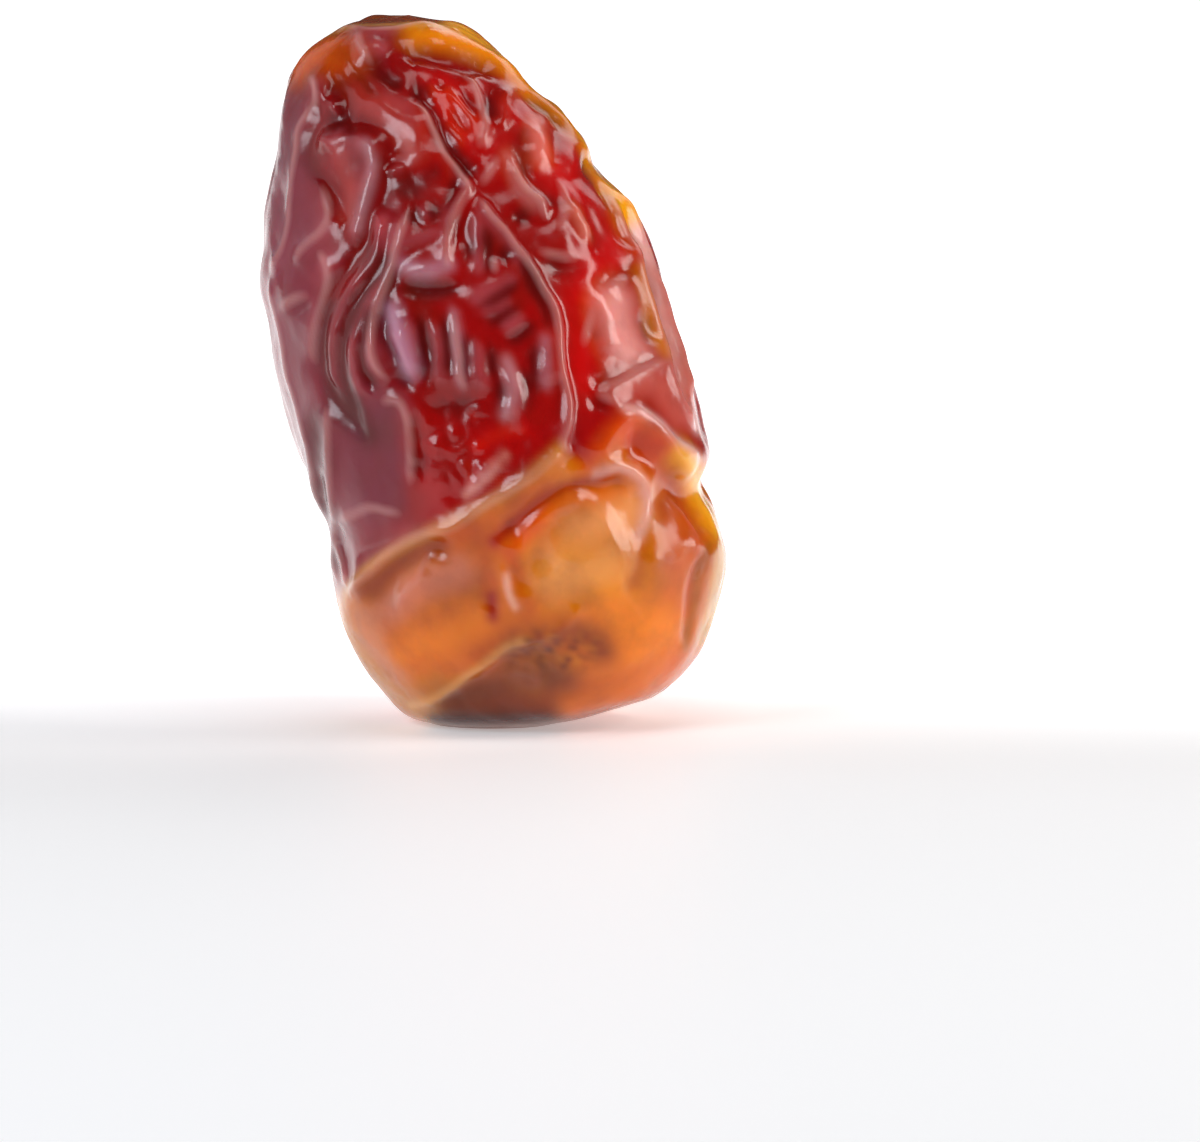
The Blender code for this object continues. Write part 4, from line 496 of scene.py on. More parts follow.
def noise_at(points, scale, stretch=1.0):
    """Smooth noise with features about scale millimetres wide, and stretch times as tall.

    Each use shifts its points by a number of its own, so that no two patterns match.
    """
    size = np.array([scale, scale, scale * stretch])
    return np.array([noise.noise(Vector(p)) for p in points / size])


def away_from_eye(low, high):
    """1 where the skin faces away from the eye, down to 0 where it faces the eye by more than high."""
    toward_eye = -normals[:, 1] * math.cos(VIEW_DOWN) + normals[:, 2] * math.sin(VIEW_DOWN)
    return 1.0 - smoothstep(low, high, toward_eye)


bends = np.stack([noise_at(skin + shift, BEND_WIDTH) for shift in (11.0, 23.0, 37.0)], axis=1)
bent = skin + BEND_HEIGHT * bends
fingers = np.abs(noise_at(bent, LUMP_WIDTH, LUMP_STRETCH))
fine = np.abs(noise_at(bent + 51.0, FINE_WIDTH, FINE_STRETCH))
facets = noise_at(skin + 71.0, FACET_WIDTH, FACET_STRETCH)
toward_stem = 1.0 - smoothstep(STEM_CALM_ENDS, STEM_CALM_STARTS, skin[:, 2])
lumps = LUMP_HEIGHT * (fingers - LUMP_MEAN) + FINE_HEIGHT * (fine - LUMP_MEAN)

# Wild is how far the noise takes over: a little at the edge that the eye sees, and fully behind it.
wild = 0.25 * away_from_eye(-0.05, 0.35) + 0.75 * away_from_eye(-0.55, -0.05)
rise += wild * lumps * (1.0 - STEM_CALM * toward_stem) + FACET_HEIGHT * facets * away_from_eye(-0.7, 0.0)
# Dark lines between the fingers are painted shade, and pale lines on their tops painted highlights.
creases = np.maximum(creases, 0.6 * wild * (1.0 - smoothstep(0.0, 0.2, fingers)))
crests = np.maximum(edge_line, 0.8 * wild * smoothstep(0.42, 0.62, fingers))

seen_up = skin[:, 2] * math.cos(VIEW_DOWN) + (skin[:, 1] - FOOT_FRONT) * math.sin(VIEW_DOWN)
in_view = np.stack([skin[:, 0], seen_up, 0.0 * seen_up], axis=1)
from_patch = (in_view[:, :2] - CRINKLE_PATCH) / CRINKLE_HALF_SIZE
crinkled = 1.0 - smoothstep(0.5, 1.2, np.linalg.norm(from_patch, axis=1))
wrinkle = np.abs(noise_at(skin + 151.0, WRINKLE_WIDTH, WRINKLE_STRETCH)) - LUMP_MEAN
rise += (WRINKLE_HEIGHT + CRINKLE_HEIGHT * crinkled) * (1.0 - wild) * wrinkle
rise += DENT_HEIGHT * (1.0 - wild) * noise_at(skin + 171.0, DENT_WIDTH)

# The stem end
# Where the cap was pulled off, the end is a shallow hollow with a raised rim and a rough, dry scar.
# The rim and hollow are folds as on the front, and the scar is coarse noise.

STEM_FOLDS = [
    ("crest", 0.40, 0.50, 0.0, [(-4.4, 1.3), (-3.2, 1.8), (-2.2, 2.4), (-1.3, 3.0), (-0.5, 3.7),
        (0.2, 4.2), (1.0, 4.7), (1.8, 5.1), (2.7, 5.3), (3.5, 5.6), (4.2, 6.1), (4.8, 6.7), (5.2, 7.2)]),
    ("crease", 0.29, 0.69, 0.0, [(-3.2, 1.2), (-2.0, 1.7), (-1.0, 2.3), (0.0, 3.1), (1.0, 3.8),
        (2.2, 4.1), (3.4, 4.5), (4.4, 4.8)]),
    ("crease", 0.31, 1.72, 0.0, [(-1.5, 1.4), (0.5, 2.2), (2.5, 3.0), (4.5, 3.6)]),
]
SCAR_CENTRE = (2.2, 3.5)
SCAR_RADIUS = 2.6
SCAR_ROUGHNESS = 0.22
for kind, height, width, lean, seen in STEM_FOLDS:
    rise += (-height if kind == "crease" else height) * fold_shape(kind, width, lean, seen)
scar_middle = front_points([SCAR_CENTRE])[0]
scar = 1.0 - smoothstep(0.4, 1.0, np.linalg.norm(skin - scar_middle, axis=1) / SCAR_RADIUS)
rise += SCAR_ROUGHNESS * scar * noise_at(skin + 91.0, 0.7)

# The relief dies out toward the flat foot, and the origin is moved to the middle of the fruit's box.
RELIEF_STARTS, RELIEF_FULL = 0.25, 1.6
MIDDLE = np.array([0.095, 0.152, 0.0])
rise *= smoothstep(RELIEF_STARTS, RELIEF_FULL, skin[:, 2])
raised = (skin + normals * rise[:, None] - MIDDLE) * MM
date.data.vertices.foreach_set("co", raised.ravel())
date.data.update()
soften = date.modifiers.new("soften", "SMOOTH")
soften.factor = 0.5
soften.iterations = 5
bpy.ops.object.modifier_apply(modifier="soften")

# The skin colours, with painted light
# Red-brown where the fruit has dried, amber at the stem end, and yellow at the thin skin of the rim. Painted
# sheen, highlights, glow and shade are mixed in, and all are laid on each vertex as soft strokes.

# Colours are moved away from grey by this factor, because the gloss over them makes them paler.
DEEPENING = 1.22

# A stroke counts only this share of the depth, so that it reaches farther back than it does across.
DEPTH_SHARE = 0.22

# At the back the amber ends in a wave at this height.
BACK_AMBER_TOP, BACK_AMBER_WAVE, BACK_AMBER_WAVE_WIDTH = 10.5, 2.2, 6.0

# Above this line (across, up) the front is dried skin, and below it is amber.
AMBER_LINE = [(-14.0, 6.2), (-8.3, 7.6), (-5.8, 9.8), (-3.0, 11.3), (-0.8, 12.4), (2.0, 14.1), (3.9, 15.9),
              (5.6, 15.0), (6.8, 17.0), (7.9, 17.7), (9.5, 16.6), (11.5, 15.4), (14.0, 14.5)]

AMBER_CLOUD_WIDTH = 3.6
PALE_WRINKLE_WIDTH = 0.55

# A colour, a strength, a half width and a line (across, up) that the eye sees
STROKES = [
    # The first four strokes lay mauve over the left side: painted sheen and painted shade
    ("752934", 0.9, 1.5, [(-12.4, 38.0), (-12.6, 34.0), (-12.2, 29.0), (-12.4, 24.0), (-11.4, 18.0),
                          (-9.6, 11.5)]),
    ("68242E", 0.8, 1.4, [(-11.2, 36.0), (-11.6, 32.0), (-10.8, 27.5), (-11.0, 22.0), (-9.6, 15.0)]),
    ("6C2833", 0.9, 1.9, [(-7.6, 17.0), (-7.2, 13.0)]),
    ("6C2833", 0.9, 1.1, [(-6.0, 18.0), (-5.6, 15.5), (-5.9, 13.0)]),
    # The next four strokes darken the creases on the left: painted shade
    ("560A10", 0.85, 0.4, [(-9.3, 23.6), (-9.45, 21.0), (-9.1, 19.0), (-8.2, 17.4)]),
    ("560A10", 0.75, 0.32, [(-7.8, 24.6), (-8.35, 22.0), (-8.2, 19.8), (-7.3, 18.0)]),
    ("4A0A10", 0.9, 0.8, [(-8.2, 18.6), (-6.9, 16.6)]),
    ("4A1012", 0.8, 0.7, [(-9.9, 17.5), (-9.5, 13.0), (-8.9, 9.5)]),
    ("A03C34", 0.7, 1.2, [(-7.5, 36.2), (-6.0, 34.8), (-4.9, 33.2)]),
    ("961408", 0.95, 1.5, [(-3.2, 16.8), (0.5, 16.4), (3.0, 17.4)]),
    ("961408", 0.9, 0.8, [(-3.6, 14.0), (-2.6, 12.8)]),
    ("8E0A06", 0.9, 0.5, [(-1.5, 30.0), (-1.7, 28.0), (-2.1, 26.7)]),
    # The next three strokes darken the creases: painted shade
    ("7A0606", 0.9, 0.6, [(-9.6, 35.6), (-10.0, 33.4), (-9.0, 31.0), (-8.3, 28.0)]),
    ("7A0606", 0.9, 0.45, [(-7.6, 34.2), (-6.0, 33.0), (-6.2, 30.6), (-7.2, 27.4), (-8.9, 24.6)]),
    ("6A0808", 0.8, 0.5, [(-5.2, 30.6), (-4.2, 30.8), (-3.2, 31.4)]),
    ("A84A32", 0.8, 1.0, [(-9.0, 37.8), (-7.8, 38.2)]),
    ("C04030", 0.7, 1.0, [(-2.6, 36.0), (-1.6, 34.0)]),
    ("B42806", 0.9, 1.5, [(5.0, 19.6), (5.2, 24.0), (5.8, 26.0)]),
    ("B83408", 0.8, 1.2, [(3.0, 33.0), (4.6, 30.4), (6.4, 28.4), (7.0, 26.6)]),
    ("B44A14", 0.8, 0.5, [(6.0, 31.8), (7.0, 29.4), (8.0, 27.0)]),
    ("C8782C", 0.8, 0.35, [(8.2, 26.0), (9.0, 23.4), (9.7, 21.2)]),
    # The next two strokes are a painted sheen and a painted highlight on the right ridges
    ("B4886C", 0.8, 0.28, [(8.6, 28.6), (9.9, 25.0), (10.7, 22.0), (11.8, 18.4), (12.3, 16.6)]),
    ("DCACA8", 0.9, 0.34, [(7.3, 30.4), (8.6, 27.2), (9.8, 23.2), (11.0, 19.0), (11.6, 17.0)]),
    ("A04A3C", 0.7, 0.4, [(9.2, 26.0), (10.3, 22.0), (11.3, 18.6)]),
    # The next four strokes are painted highlights and sheen on lumps and folds
    ("DA9A94", 0.85, 1.2, [(6.9, 24.0), (7.2, 22.6), (7.9, 21.4)]),
    ("D08078", 0.7, 0.55, [(2.4, 34.2), (2.8, 32.4)]),
    ("DC988C", 0.6, 0.35, [(4.6, 29.4), (5.3, 28.0)]),
    ("C07C74", 0.5, 0.5, [(1.0, 32.4), (1.6, 30.8), (2.4, 29.8)]),
    ("A84844", 0.7, 0.6, [(-8.6, 32.6), (-8.0, 30.6), (-8.2, 29.0)]),
    ("A85054", 0.7, 0.4, [(-6.2, 28.8), (-5.8, 27.2)]),
    ("C0402C", 0.7, 0.45, [(-0.8, 16.0), (0.6, 16.7), (1.8, 16.9)]),
    # The next seven strokes are painted highlights and sheen on the tops of folds
    ("BE92A4", 0.75, 0.5, [(-5.6, 23.6), (-5.1, 22.2), (-4.5, 20.3)]),
    ("B4888C", 0.65, 0.38, [(0.9, 20.8), (1.3, 19.2), (0.8, 17.7)]),
    ("B88C98", 0.65, 0.4, [(-5.0, 26.2), (-3.8, 25.8), (-2.4, 26.2)]),
    ("B4888C", 0.6, 0.3, [(-7.0, 33.0), (-6.6, 31.6), (-7.2, 29.6), (-7.5, 28.2)]),
    ("B06460", 0.6, 0.35, [(-4.9, 33.6), (-4.4, 32.4)]),
    ("B08088", 0.6, 0.25, [(-2.1, 23.6), (-1.9, 21.6), (-1.6, 19.4)]),
    ("AC7880", 0.6, 0.3, [(3.0, 22.0), (3.1, 19.4)]),
    ("BC625A", 0.85, 1.1, [(7.6, 19.4), (9.4, 19.6), (10.6, 17.8)]),
    ("CC6414", 0.95, 1.2, [(-11.2, 37.8), (-9.4, 39.1)]),
    ("D88410", 0.95, 0.9, [(-4.2, 39.5), (-2.0, 38.9), (0.2, 37.9), (2.0, 36.5)]),
    # Yellow along the top right rim: the thin skin's own colour and a painted glow of light through it
    ("E8A428", 1.0, 0.65, [(-2.4, 40.2), (0.0, 38.8), (2.0, 37.1), (4.2, 34.9), (5.6, 33.1), (6.6, 31.4),
                           (7.8, 29.2)]),
    # Darker red in the crease below the rim: painted shade
    ("840A02", 0.9, 0.55, [(-5.2, 38.0), (-2.6, 37.9), (-0.4, 37.2), (0.2, 36.2)]),
    ("7C4028", 0.95, 0.6, [(-9.2, 40.3), (-6.0, 40.7), (-3.4, 40.6)]),
    ("C8905C", 0.8, 0.25, [(-9.6, 39.7), (-6.4, 40.0), (-2.6, 39.9)]),
    # The next three strokes, pale tan on the lower left, are the amber's own colour and a painted sheen
    ("B88450", 0.85, 1.1, [(-9.0, 6.6), (-7.8, 4.2), (-5.6, 1.9), (-3.8, 0.9)]),
    ("B87462", 0.85, 1.4, [(-5.6, 6.8), (-4.0, 8.2), (-1.8, 8.8)]),
    ("B87C64", 0.75, 0.8, [(-7.2, 6.4), (-6.4, 4.6), (-5.2, 3.0)]),
    ("AC7048", 0.7, 0.8, [(-4.6, 2.0), (-3.2, 2.6)]),
    ("D07838", 0.9, 1.3, [(-4.6, 4.6), (-2.4, 5.2), (-0.4, 6.2)]),
    # Darker brown in the crease under the fold: painted shade
    ("843C00", 0.9, 0.7, [(-7.0, 7.9), (-5.6, 9.1), (-4.4, 10.0), (-3.0, 10.5)]),
    ("A04838", 0.5, 0.6, [(-0.7, 11.2), (-0.3, 9.6), (0.3, 8.4)]),
    ("8E1408", 1.0, 0.38, [(0.2, 10.6), (1.6, 11.8), (3.6, 13.2), (5.4, 13.9), (7.2, 14.1)]),
    ("CC5010", 0.9, 0.55, [(1.6, 10.6), (3.4, 12.3), (5.4, 13.0), (7.6, 13.5)]),
    ("B04408", 0.9, 0.6, [(1.1, 10.0), (1.7, 8.6), (2.2, 7.2)]),
    # The next two strokes, peach on the dome, are the amber's own colour and a painted highlight
    ("E09C70", 0.9, 1.6, [(5.0, 11.5), (7.0, 11.8), (7.9, 12.3)]),
    ("E09C64", 0.9, 1.9, [(3.8, 8.7), (6.2, 9.0)]),
    ("8A1A0A", 0.9, 0.4, [(0.0, 7.4), (0.1, 6.4)]),
    ("E08408", 0.95, 1.6, [(6.8, 6.4), (8.1, 4.8), (9.4, 5.8)]),
    # Pinkish brown over the orange here: painted sheen
    ("B4583C", 0.8, 0.8, [(9.8, 12.6), (10.4, 11.0), (10.2, 9.6)]),
    ("B88A48", 0.95, 0.7, [(12.3, 5.2), (12.9, 8.4), (13.2, 10.6)]),
    # Darker brown along the crease of the right side: painted shade
    ("905820", 0.7, 0.25, [(12.3, 10.6), (11.8, 8.6), (11.4, 6.4), (11.0, 4.6)]),
    ("C0480C", 0.9, 0.8, [(7.9, 16.6), (9.4, 15.8)]),
    ("E4AC58", 0.9, 0.7, [(10.6, 15.6), (11.6, 14.4), (12.0, 13.2), (12.8, 11.6)]),
    ("C45418", 0.8, 0.7, [(5.6, 15.0), (6.6, 16.6), (7.6, 17.5)]),
    ("844010", 0.9, 0.9, [(1.2, 4.8), (3.2, 5.2), (5.2, 5.4), (6.4, 4.4)]),
    ("6A3204", 0.9, 1.2, [(-2.0, 1.5), (1.0, 2.2), (4.0, 2.6)]),
    # A pale pinkish spot on the scar: painted sheen
    ("A86450", 0.6, 0.6, [(1.4, 2.7), (2.4, 2.5)]),
    # Darkest along the bottom edge: painted shade
    ("401A02", 0.95, 0.6, [(-3.2, 0.5), (0.0, 0.5), (4.0, 0.7)]),
    ("C06A08", 0.95, 0.9, [(4.6, 1.2), (7.2, 1.9), (9.0, 3.2)]),
    ("D0A070", 0.7, 0.25, [(-4.6, 1.3), (-2.4, 2.3), (0.4, 4.4), (1.8, 5.1)]),
    ("C89058", 0.75, 0.28, [(-8.4, 7.7), (-5.8, 9.9), (-3.0, 11.4), (-0.8, 12.5), (2.0, 14.2), (3.9, 16.0)]),
    # The last four strokes are painted highlights on crests
    ("F0CCC0", 0.8, 0.13, [(0.9, 8.8), (1.05, 7.7), (1.4, 6.9)]),
    ("F0C0B0", 0.7, 0.1, [(-1.5, 13.2), (-0.3, 14.1), (0.9, 15.6)]),
    ("E0B0A8", 0.85, 0.26, [(6.0, 14.4), (7.1, 14.8), (8.4, 14.2), (8.7, 12.8), (8.4, 11.0)]),
    ("DCB0AC", 0.9, 0.28, [(7.4, 18.1), (8.8, 17.6), (10.7, 15.9), (11.8, 15.4)]),
]


def linear(hex_colour):
    """An sRGB colour such as A01208 as the linear colour that Blender works in."""
    parts = [int(hex_colour[i : i + 2], 16) / 255.0 for i in (0, 2, 4)]
    return [c / 12.92 if c <= 0.04045 else ((c + 0.055) / 1.055) ** 2.4 for c in parts] + [1.0]


def lay_on(colours, hex_colour, amount):
    """Mixes a colour over the colours, more where the amount is near 1."""
    return colours + (np.array(linear(hex_colour)) - colours) * amount[:, None]


# The ground colours: dark red; mauve to the left, a painted sheen and shade; paler mauve on the raised folds,
# a painted sheen; and dark in creases, a painted shade
front_side = 1.0 - away_from_eye(-0.25, 0.1)
amber_line = np.array(AMBER_LINE)
front_gap = np.interp(in_view[:, 0], amber_line[:, 0], amber_line[:, 1]) - in_view[:, 1]
back_line = BACK_AMBER_TOP + BACK_AMBER_WAVE * noise_at(skin + 131.0, BACK_AMBER_WAVE_WIDTH)
back_gap = back_line - skin[:, 2]
amber = front_side * smoothstep(-0.25, 0.45, front_gap) + (1.0 - front_side) * smoothstep(-3.0, 3.0, back_gap)
heart = smoothstep(-5.2, -3.8, in_view[:, 0]) * smoothstep(30.0, 32.0, in_view[:, 1])
painted_fold_sheen = front_side * (1.0 - smoothstep(2.0, 5.0, in_view[:, 0])) * smoothstep(0.05, 0.8, loose)
colours = np.tile(linear("8C1206"), (len(skin), 1))
# Mauve over the left side, darker than the red: painted sheen and painted shade
colours = lay_on(colours, "7A3238", 0.75 * front_side * (1.0 - smoothstep(-7.0, -2.5, in_view[:, 0])))
colours = lay_on(colours, "A42410", 0.6 * heart)
# Paler mauve on the raised folds: painted sheen
colours = lay_on(colours, "9A4C50", 0.85 * painted_fold_sheen * (1.0 - 0.6 * heart))
# Dark red in the creases: painted shade
colours = lay_on(colours, "520205", 0.95 * smoothstep(0.0, 1.0, creases))

# The amber end, with redder and paler clouds, and painted shade in its creases and on its underside
colours = lay_on(colours, "B8601C", amber)
cloud = noise_at(skin + 191.0, AMBER_CLOUD_WIDTH)
colours = lay_on(colours, "A8481C", 0.6 * amber * smoothstep(0.05, 0.5, cloud))
colours = lay_on(colours, "CC8048", 0.5 * amber * smoothstep(0.05, 0.5, -cloud))
# Darker in the creases of the amber: painted shade
colours = lay_on(colours, "A03010", 0.5 * smoothstep(0.35, 0.95, creases) * amber)
# Darker toward the bottom, where the skin faces the table: painted shade
under = 1.0 - smoothstep(0.4, 3.2, in_view[:, 1])
colours = lay_on(colours, "4A1606", 0.8 * front_side * under * smoothstep(-5.0, -2.5, in_view[:, 0]))
colours = lay_on(colours, "A05010", 0.4 * amber * under)

# Pale fine wrinkles in the crinkled patch, and then the strokes
wrinkles = crinkled * smoothstep(0.1, 0.4, noise_at(skin + 211.0, PALE_WRINKLE_WIDTH, 0.7))
colours = lay_on(colours, "C4503C", 0.6 * wrinkles)
canvas = np.column_stack([in_view[:, 0], in_view[:, 1], DEPTH_SHARE * skin[:, 1]])
for hex_colour, strength, half_width, line in STROKES:
    depths = DEPTH_SHARE * front_points(line)[:, 1]
    brush = curve_through(np.column_stack([line, depths]), 4)
    gap, _, _, _ = nearest_on_line(canvas, brush)
    colours = lay_on(colours, hex_colour, strength * front_side * np.exp(-((gap / half_width) ** 2)))

# The pleats of the stem scar: slanting brown lines with pale ones between them
PLEAT_PATCH = (3.4, 4.6)
PLEAT_HALF_SIZE = (3.4, 1.7)
PLEAT_SLANT = 1.8
PLEAT_WIDTH = 0.5
from_pleats = (in_view[:, :2] - PLEAT_PATCH) / PLEAT_HALF_SIZE
pleated = 1.0 - smoothstep(0.4, 1.1, np.linalg.norm(from_pleats, axis=1))
slanted = np.stack([in_view[:, 0] + in_view[:, 1], PLEAT_SLANT * in_view[:, 1], 0.0 * seen_up], axis=1)
pleats = noise_at(slanted, PLEAT_WIDTH)
colours = lay_on(colours, "3A1606", 0.85 * pleated * smoothstep(0.1, 0.35, pleats))
colours = lay_on(colours, "B87848", 0.6 * pleated * smoothstep(0.15, 0.4, -pleats))

# The colours are made deeper, and the tip behind the view turns brown.
grey = colours[:, :3].mean(axis=1, keepdims=True)
colours[:, :3] = np.clip(grey + DEEPENING * (colours[:, :3] - grey), 0.002, 0.95)
tip_gap = np.linalg.norm(skin - [TIP_ACROSS, TIP_DEPTH, HEIGHT], axis=1)
colours = lay_on(colours, "8A5230", (1.0 - front_side) * (1.0 - smoothstep(2.0, 5.0, tip_gap)))

edge_ends = values(date.data.edges, "vertices", 2).astype(int)
neighbours = np.bincount(edge_ends.ravel(), minlength=len(skin))


def spread(data):
    """The data softened over neighbouring vertices, so that fine lines show no steps."""
    for _ in range(3):
        total = np.bincount(edge_ends[:, 0], data[edge_ends[:, 1]], len(skin))
        total += np.bincount(edge_ends[:, 1], data[edge_ends[:, 0]], len(skin))
        data = 0.4 * data + 0.6 * total / neighbours
    return data


def keep(name, data):
    """Stores one number for each vertex, for the material to read."""
    date.data.attributes.new(name, "FLOAT", "POINT").data.foreach_set("value", data.astype(np.float32))


colours = np.stack([spread(channel) for channel in colours.T], axis=1)
date.data.attributes.new("colour_and_painted_light", "FLOAT_COLOR", "POINT").data.foreach_set("color", colours.ravel())
keep("crest", spread(crests * (1.0 - 0.5 * amber)))
keep("scar", scar)

# The foot is cut flat at the table and closed.
bpy.ops.object.mode_set(mode="EDIT")
bpy.ops.mesh.select_all(action="SELECT")
bpy.ops.mesh.bisect(
    plane_co=(0, 0, 0), plane_no=(0, 0, 1), use_fill=True, clear_inner=True, threshold=1e-7
)
bpy.ops.object.mode_set(mode="OBJECT")
bpy.ops.object.shade_smooth()
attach(date, "root")
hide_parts("date_fruit")

# The skin
# Dried fruit skin, thin, waxy and sticky with sugar, over moist flesh. It is one with the body, and its
# material reads the colours, the crests and the scar that are stored on the mesh.


def node(tree, kind, links=None, **settings):
    """Adds a node. Settings are its properties or, as in_NAME or in_NUMBER, its inputs' values."""
    made = tree.nodes.new(kind)
    for name, value in settings.items():
        if name.startswith("in_"):
            key = name[3:].replace("_", " ")
            made.inputs[int(key) if key.isdigit() else key].default_value = value
        else:
            setattr(made, name, value)
    for name, source in (links or {}).items():
        tree.links.new(source, made.inputs[name])
    return made


# Dried date skin gives the eye a wet gloss, red light that soaks through folds, and darker and paler tones.
fruit_skin = bpy.data.materials.new("dried_date_skin")
fruit_skin.use_nodes = True
tree = fruit_skin.node_tree
shader = tree.nodes["Principled BSDF"]
place = node(tree, "ShaderNodeTexCoord").outputs["Object"]

# Widths of the patterns in millimetres. The real grain is finer, and is drawn as coarse as it can show.
CLOUD = 7.0
FRECKLE = 2.4
DULL_PATCH = 1.1
SKIN_GRAIN = 0.65

colour_and_painted_light = node(tree, "ShaderNodeAttribute", attribute_name="colour_and_painted_light").outputs["Color"]
crest_mark = node(tree, "ShaderNodeAttribute", attribute_name="crest").outputs["Fac"]
scar_mark = node(tree, "ShaderNodeAttribute", attribute_name="scar").outputs["Fac"]

# Clouds make the skin darker and lighter by a third, as the flesh under it is thick or thin.
clouds = node(tree, "ShaderNodeTexNoise", {"Vector": place}, in_Scale=1.0 / (CLOUD * MM), in_Detail=3.0)
depth_of_tone = node(tree, "ShaderNodeMapRange", {"Value": clouds.outputs["Fac"]}, in_3=0.75, in_4=1.45)
toned = node(
    tree, "ShaderNodeVectorMath", {0: colour_and_painted_light, "Scale": depth_of_tone.outputs[0]}, operation="SCALE"
)

# Brown freckles, a painted highlight along each sharp crest, and the brown scar of the stem
mottle = node(tree, "ShaderNodeTexNoise", {"Vector": place}, in_Scale=1.0 / (FRECKLE * MM), in_Detail=4.0)
freckles = node(tree, "ShaderNodeMapRange", {"Value": mottle.outputs["Fac"]}, in_1=0.45, in_2=0.75, in_4=0.3)
crest_highlight = node(tree, "ShaderNodeMapRange", {"Value": crest_mark}, in_1=0.1, in_2=0.9, in_4=0.5)
rough = node(tree, "ShaderNodeMath", {0: scar_mark}, operation="MULTIPLY", in_1=0.5)
freckled = node(tree, "ShaderNodeMix", {0: freckles.outputs[0], 6: toned.outputs[0]}, data_type="RGBA",
                in_7=linear("6A1A06"))
edged = node(tree, "ShaderNodeMix", {0: crest_highlight.outputs[0], 6: freckled.outputs[2]}, data_type="RGBA",
             in_7=linear("D09A94"))
scarred = node(tree, "ShaderNodeMix", {0: rough.outputs[0], 6: edged.outputs[2]}, data_type="RGBA",
               in_7=linear("6A2E10"))
tree.links.new(scarred.outputs[2], shader.inputs["Base Color"])

# Red light soaks in about a millimetre, and green and blue much less.
shader.inputs["Subsurface Weight"].default_value = 0.35
shader.inputs["Subsurface Radius"].default_value = (1.0, 0.22, 0.08)
shader.inputs["Subsurface Scale"].default_value = 1.4 * MM

# A sugary gloss with slightly duller patches, over skin with a fine grain
shader.inputs["IOR"].default_value = 1.4
shader.inputs["Coat Weight"].default_value = 0.15
shader.inputs["Coat Roughness"].default_value = 0.12
gloss = node(tree, "ShaderNodeTexNoise", {"Vector": place}, in_Scale=1.0 / (DULL_PATCH * MM), in_Detail=3.0)
dullness = node(tree, "ShaderNodeMapRange", {"Value": gloss.outputs["Fac"]}, in_1=0.3, in_2=0.7, in_3=0.15,
                in_4=0.26)
tree.links.new(dullness.outputs[0], shader.inputs["Roughness"])
grain = node(tree, "ShaderNodeTexNoise", {"Vector": place}, in_Scale=1.0 / (SKIN_GRAIN * MM), in_Detail=3.0)
bump = node(tree, "ShaderNodeBump", {"Height": grain.outputs["Fac"]}, in_Strength=0.25, in_Distance=0.08 * MM)
tree.links.new(bump.outputs["Normal"], shader.inputs["Normal"])
date.data.materials.append(fruit_skin)

# The floor
# A plain white acrylic table, wide enough to meet the white backdrop. It isn't part of the fruit.
# It glows more toward the back, so that it runs out into the backdrop with no line.

bpy.ops.object.select_all(action="DESELECT")
bpy.ops.mesh.primitive_plane_add(size=3.0, location=(0, 1.27, 0))
floor = bpy.context.object
floor.name = "white_table"
bpy.ops.object.transform_apply(location=True)
# White acrylic is matt here, and takes only a soft shadow.
table_white = bpy.data.materials.new("white_acrylic_table")
table_white.use_nodes = True
table_shader = table_white.node_tree.nodes["Principled BSDF"]
table_shader.inputs["Base Color"].default_value = linear("F4F4F4")
table_shader.inputs["Roughness"].default_value = 0.5
table_shader.inputs["Emission Color"].default_value = (1, 1, 1, 1)
table_tree = table_white.node_tree
table_place = node(table_tree, "ShaderNodeTexCoord").outputs["Object"]
depth = node(table_tree, "ShaderNodeSeparateXYZ", {"Vector": table_place}).outputs["Y"]
glow = node(table_tree, "ShaderNodeMapRange", {"Value": depth}, in_1=-0.02, in_2=0.045, in_3=0.2, in_4=1.0,
            interpolation_type="SMOOTHSTEP")
table_tree.links.new(glow.outputs["Result"], table_shader.inputs["Emission Strength"])
floor.data.materials.append(table_white)

# The lights
# Softboxes left and right, as tall cloth-fronted lamps stand beside a small subject, a small strong one that
# gives the crisp highlights, and weaker ones behind and above. The surround is white and lights weakly.

COOL = (0.88, 0.92, 1.0)
WARM = (1.0, 0.94, 0.90)
WHITE = (1.0, 1.0, 1.0)


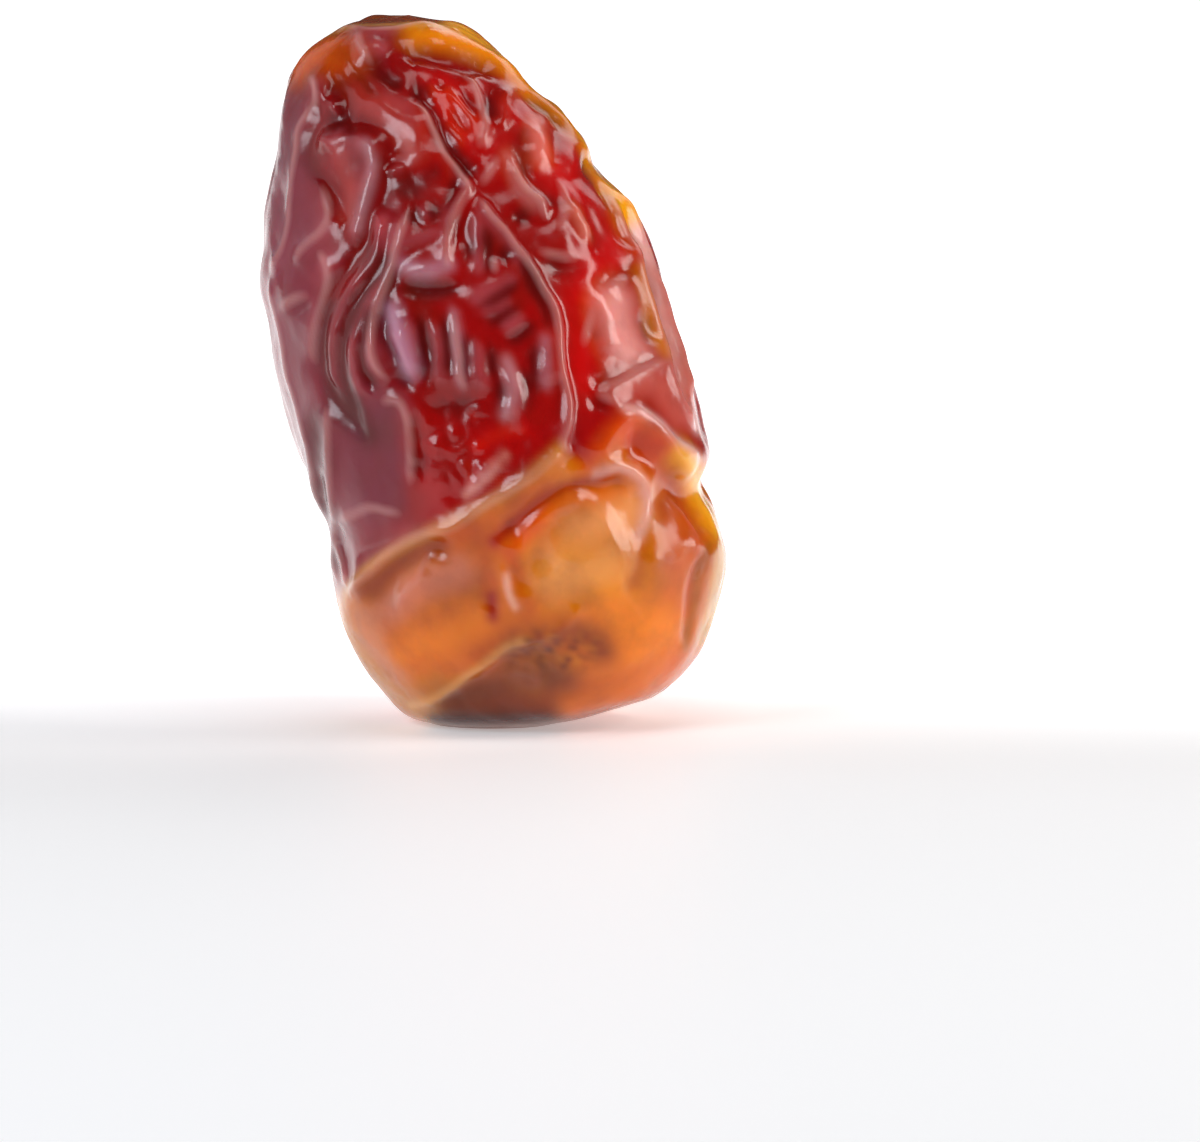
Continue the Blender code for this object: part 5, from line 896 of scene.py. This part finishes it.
def soft_light(name, power, tint, size, place, aim=(0.0, 0.0, 0.02)):
    """A rectangular area light with this power in watts, aimed at the fruit."""
    data = bpy.data.lights.new(name, "AREA")
    data.energy = power
    data.color = tint
    data.shape = "RECTANGLE"
    data.size, data.size_y = size
    lamp = bpy.data.objects.new(name, data)
    bpy.context.scene.collection.objects.link(lamp)
    lamp.location = place
    lamp.rotation_euler = (Vector(aim) - Vector(place)).to_track_quat("-Z", "Y").to_euler()


soft_light("left_softbox", 1.0, COOL, (0.80, 0.45), (-0.42, -0.09, 0.20))
soft_light("left_rear_softbox", 0.15, COOL, (0.34, 0.40), (-0.30, 0.32, 0.20))
soft_light("left_core", 0.7, COOL, (0.15, 0.20), (-0.24, -0.28, 0.22))
soft_light("right_softbox", 1.0, WARM, (0.15, 0.30), (0.36, -0.05, 0.16))
soft_light("back_light", 0.35, WHITE, (0.35, 0.18), (0.16, 0.30, 0.30))
soft_light("top_light", 0.45, WHITE, (0.25, 0.20), (0.05, -0.14, 0.45))

world = bpy.data.worlds.new("white_studio")
bpy.context.scene.world = world
world.use_nodes = True
sky = world.node_tree
shows = node(sky, "ShaderNodeLightPath").outputs["Is Camera Ray"]
seen_white = node(sky, "ShaderNodeBackground", in_Color=(1, 1, 1, 1), in_Strength=1.0)
lights_by = node(sky, "ShaderNodeBackground", in_Color=(1, 1, 1, 1), in_Strength=0.04)
both = node(sky, "ShaderNodeMixShader", {0: shows, 1: lights_by.outputs[0], 2: seen_white.outputs[0]})
sky.links.new(both.outputs[0], sky.nodes["World Output"].inputs["Surface"])

# The camera
# A long lens from the front, a little above, at the photo's own angle and framing.

CAMERA_DISTANCE = 0.8
FRAME_WIDTH = 0.06857
AIM = Vector((0.00605, 0.0, 0.0086))
camera_data = bpy.data.cameras.new("camera")
camera_data.sensor_width = 36.0
camera_data.lens = 36.0 * CAMERA_DISTANCE / FRAME_WIDTH
camera_data.clip_start = 0.01
camera = bpy.data.objects.new("camera", camera_data)
bpy.context.scene.collection.objects.link(camera)
toward_camera = Vector((0.0, -math.cos(VIEW_DOWN), math.sin(VIEW_DOWN)))
camera.location = AIM + CAMERA_DISTANCE * toward_camera
camera.rotation_euler = (-toward_camera).to_track_quat("-Z", "Y").to_euler()
bpy.context.scene.camera = camera
bpy.context.scene.view_settings.view_transform = "Standard"
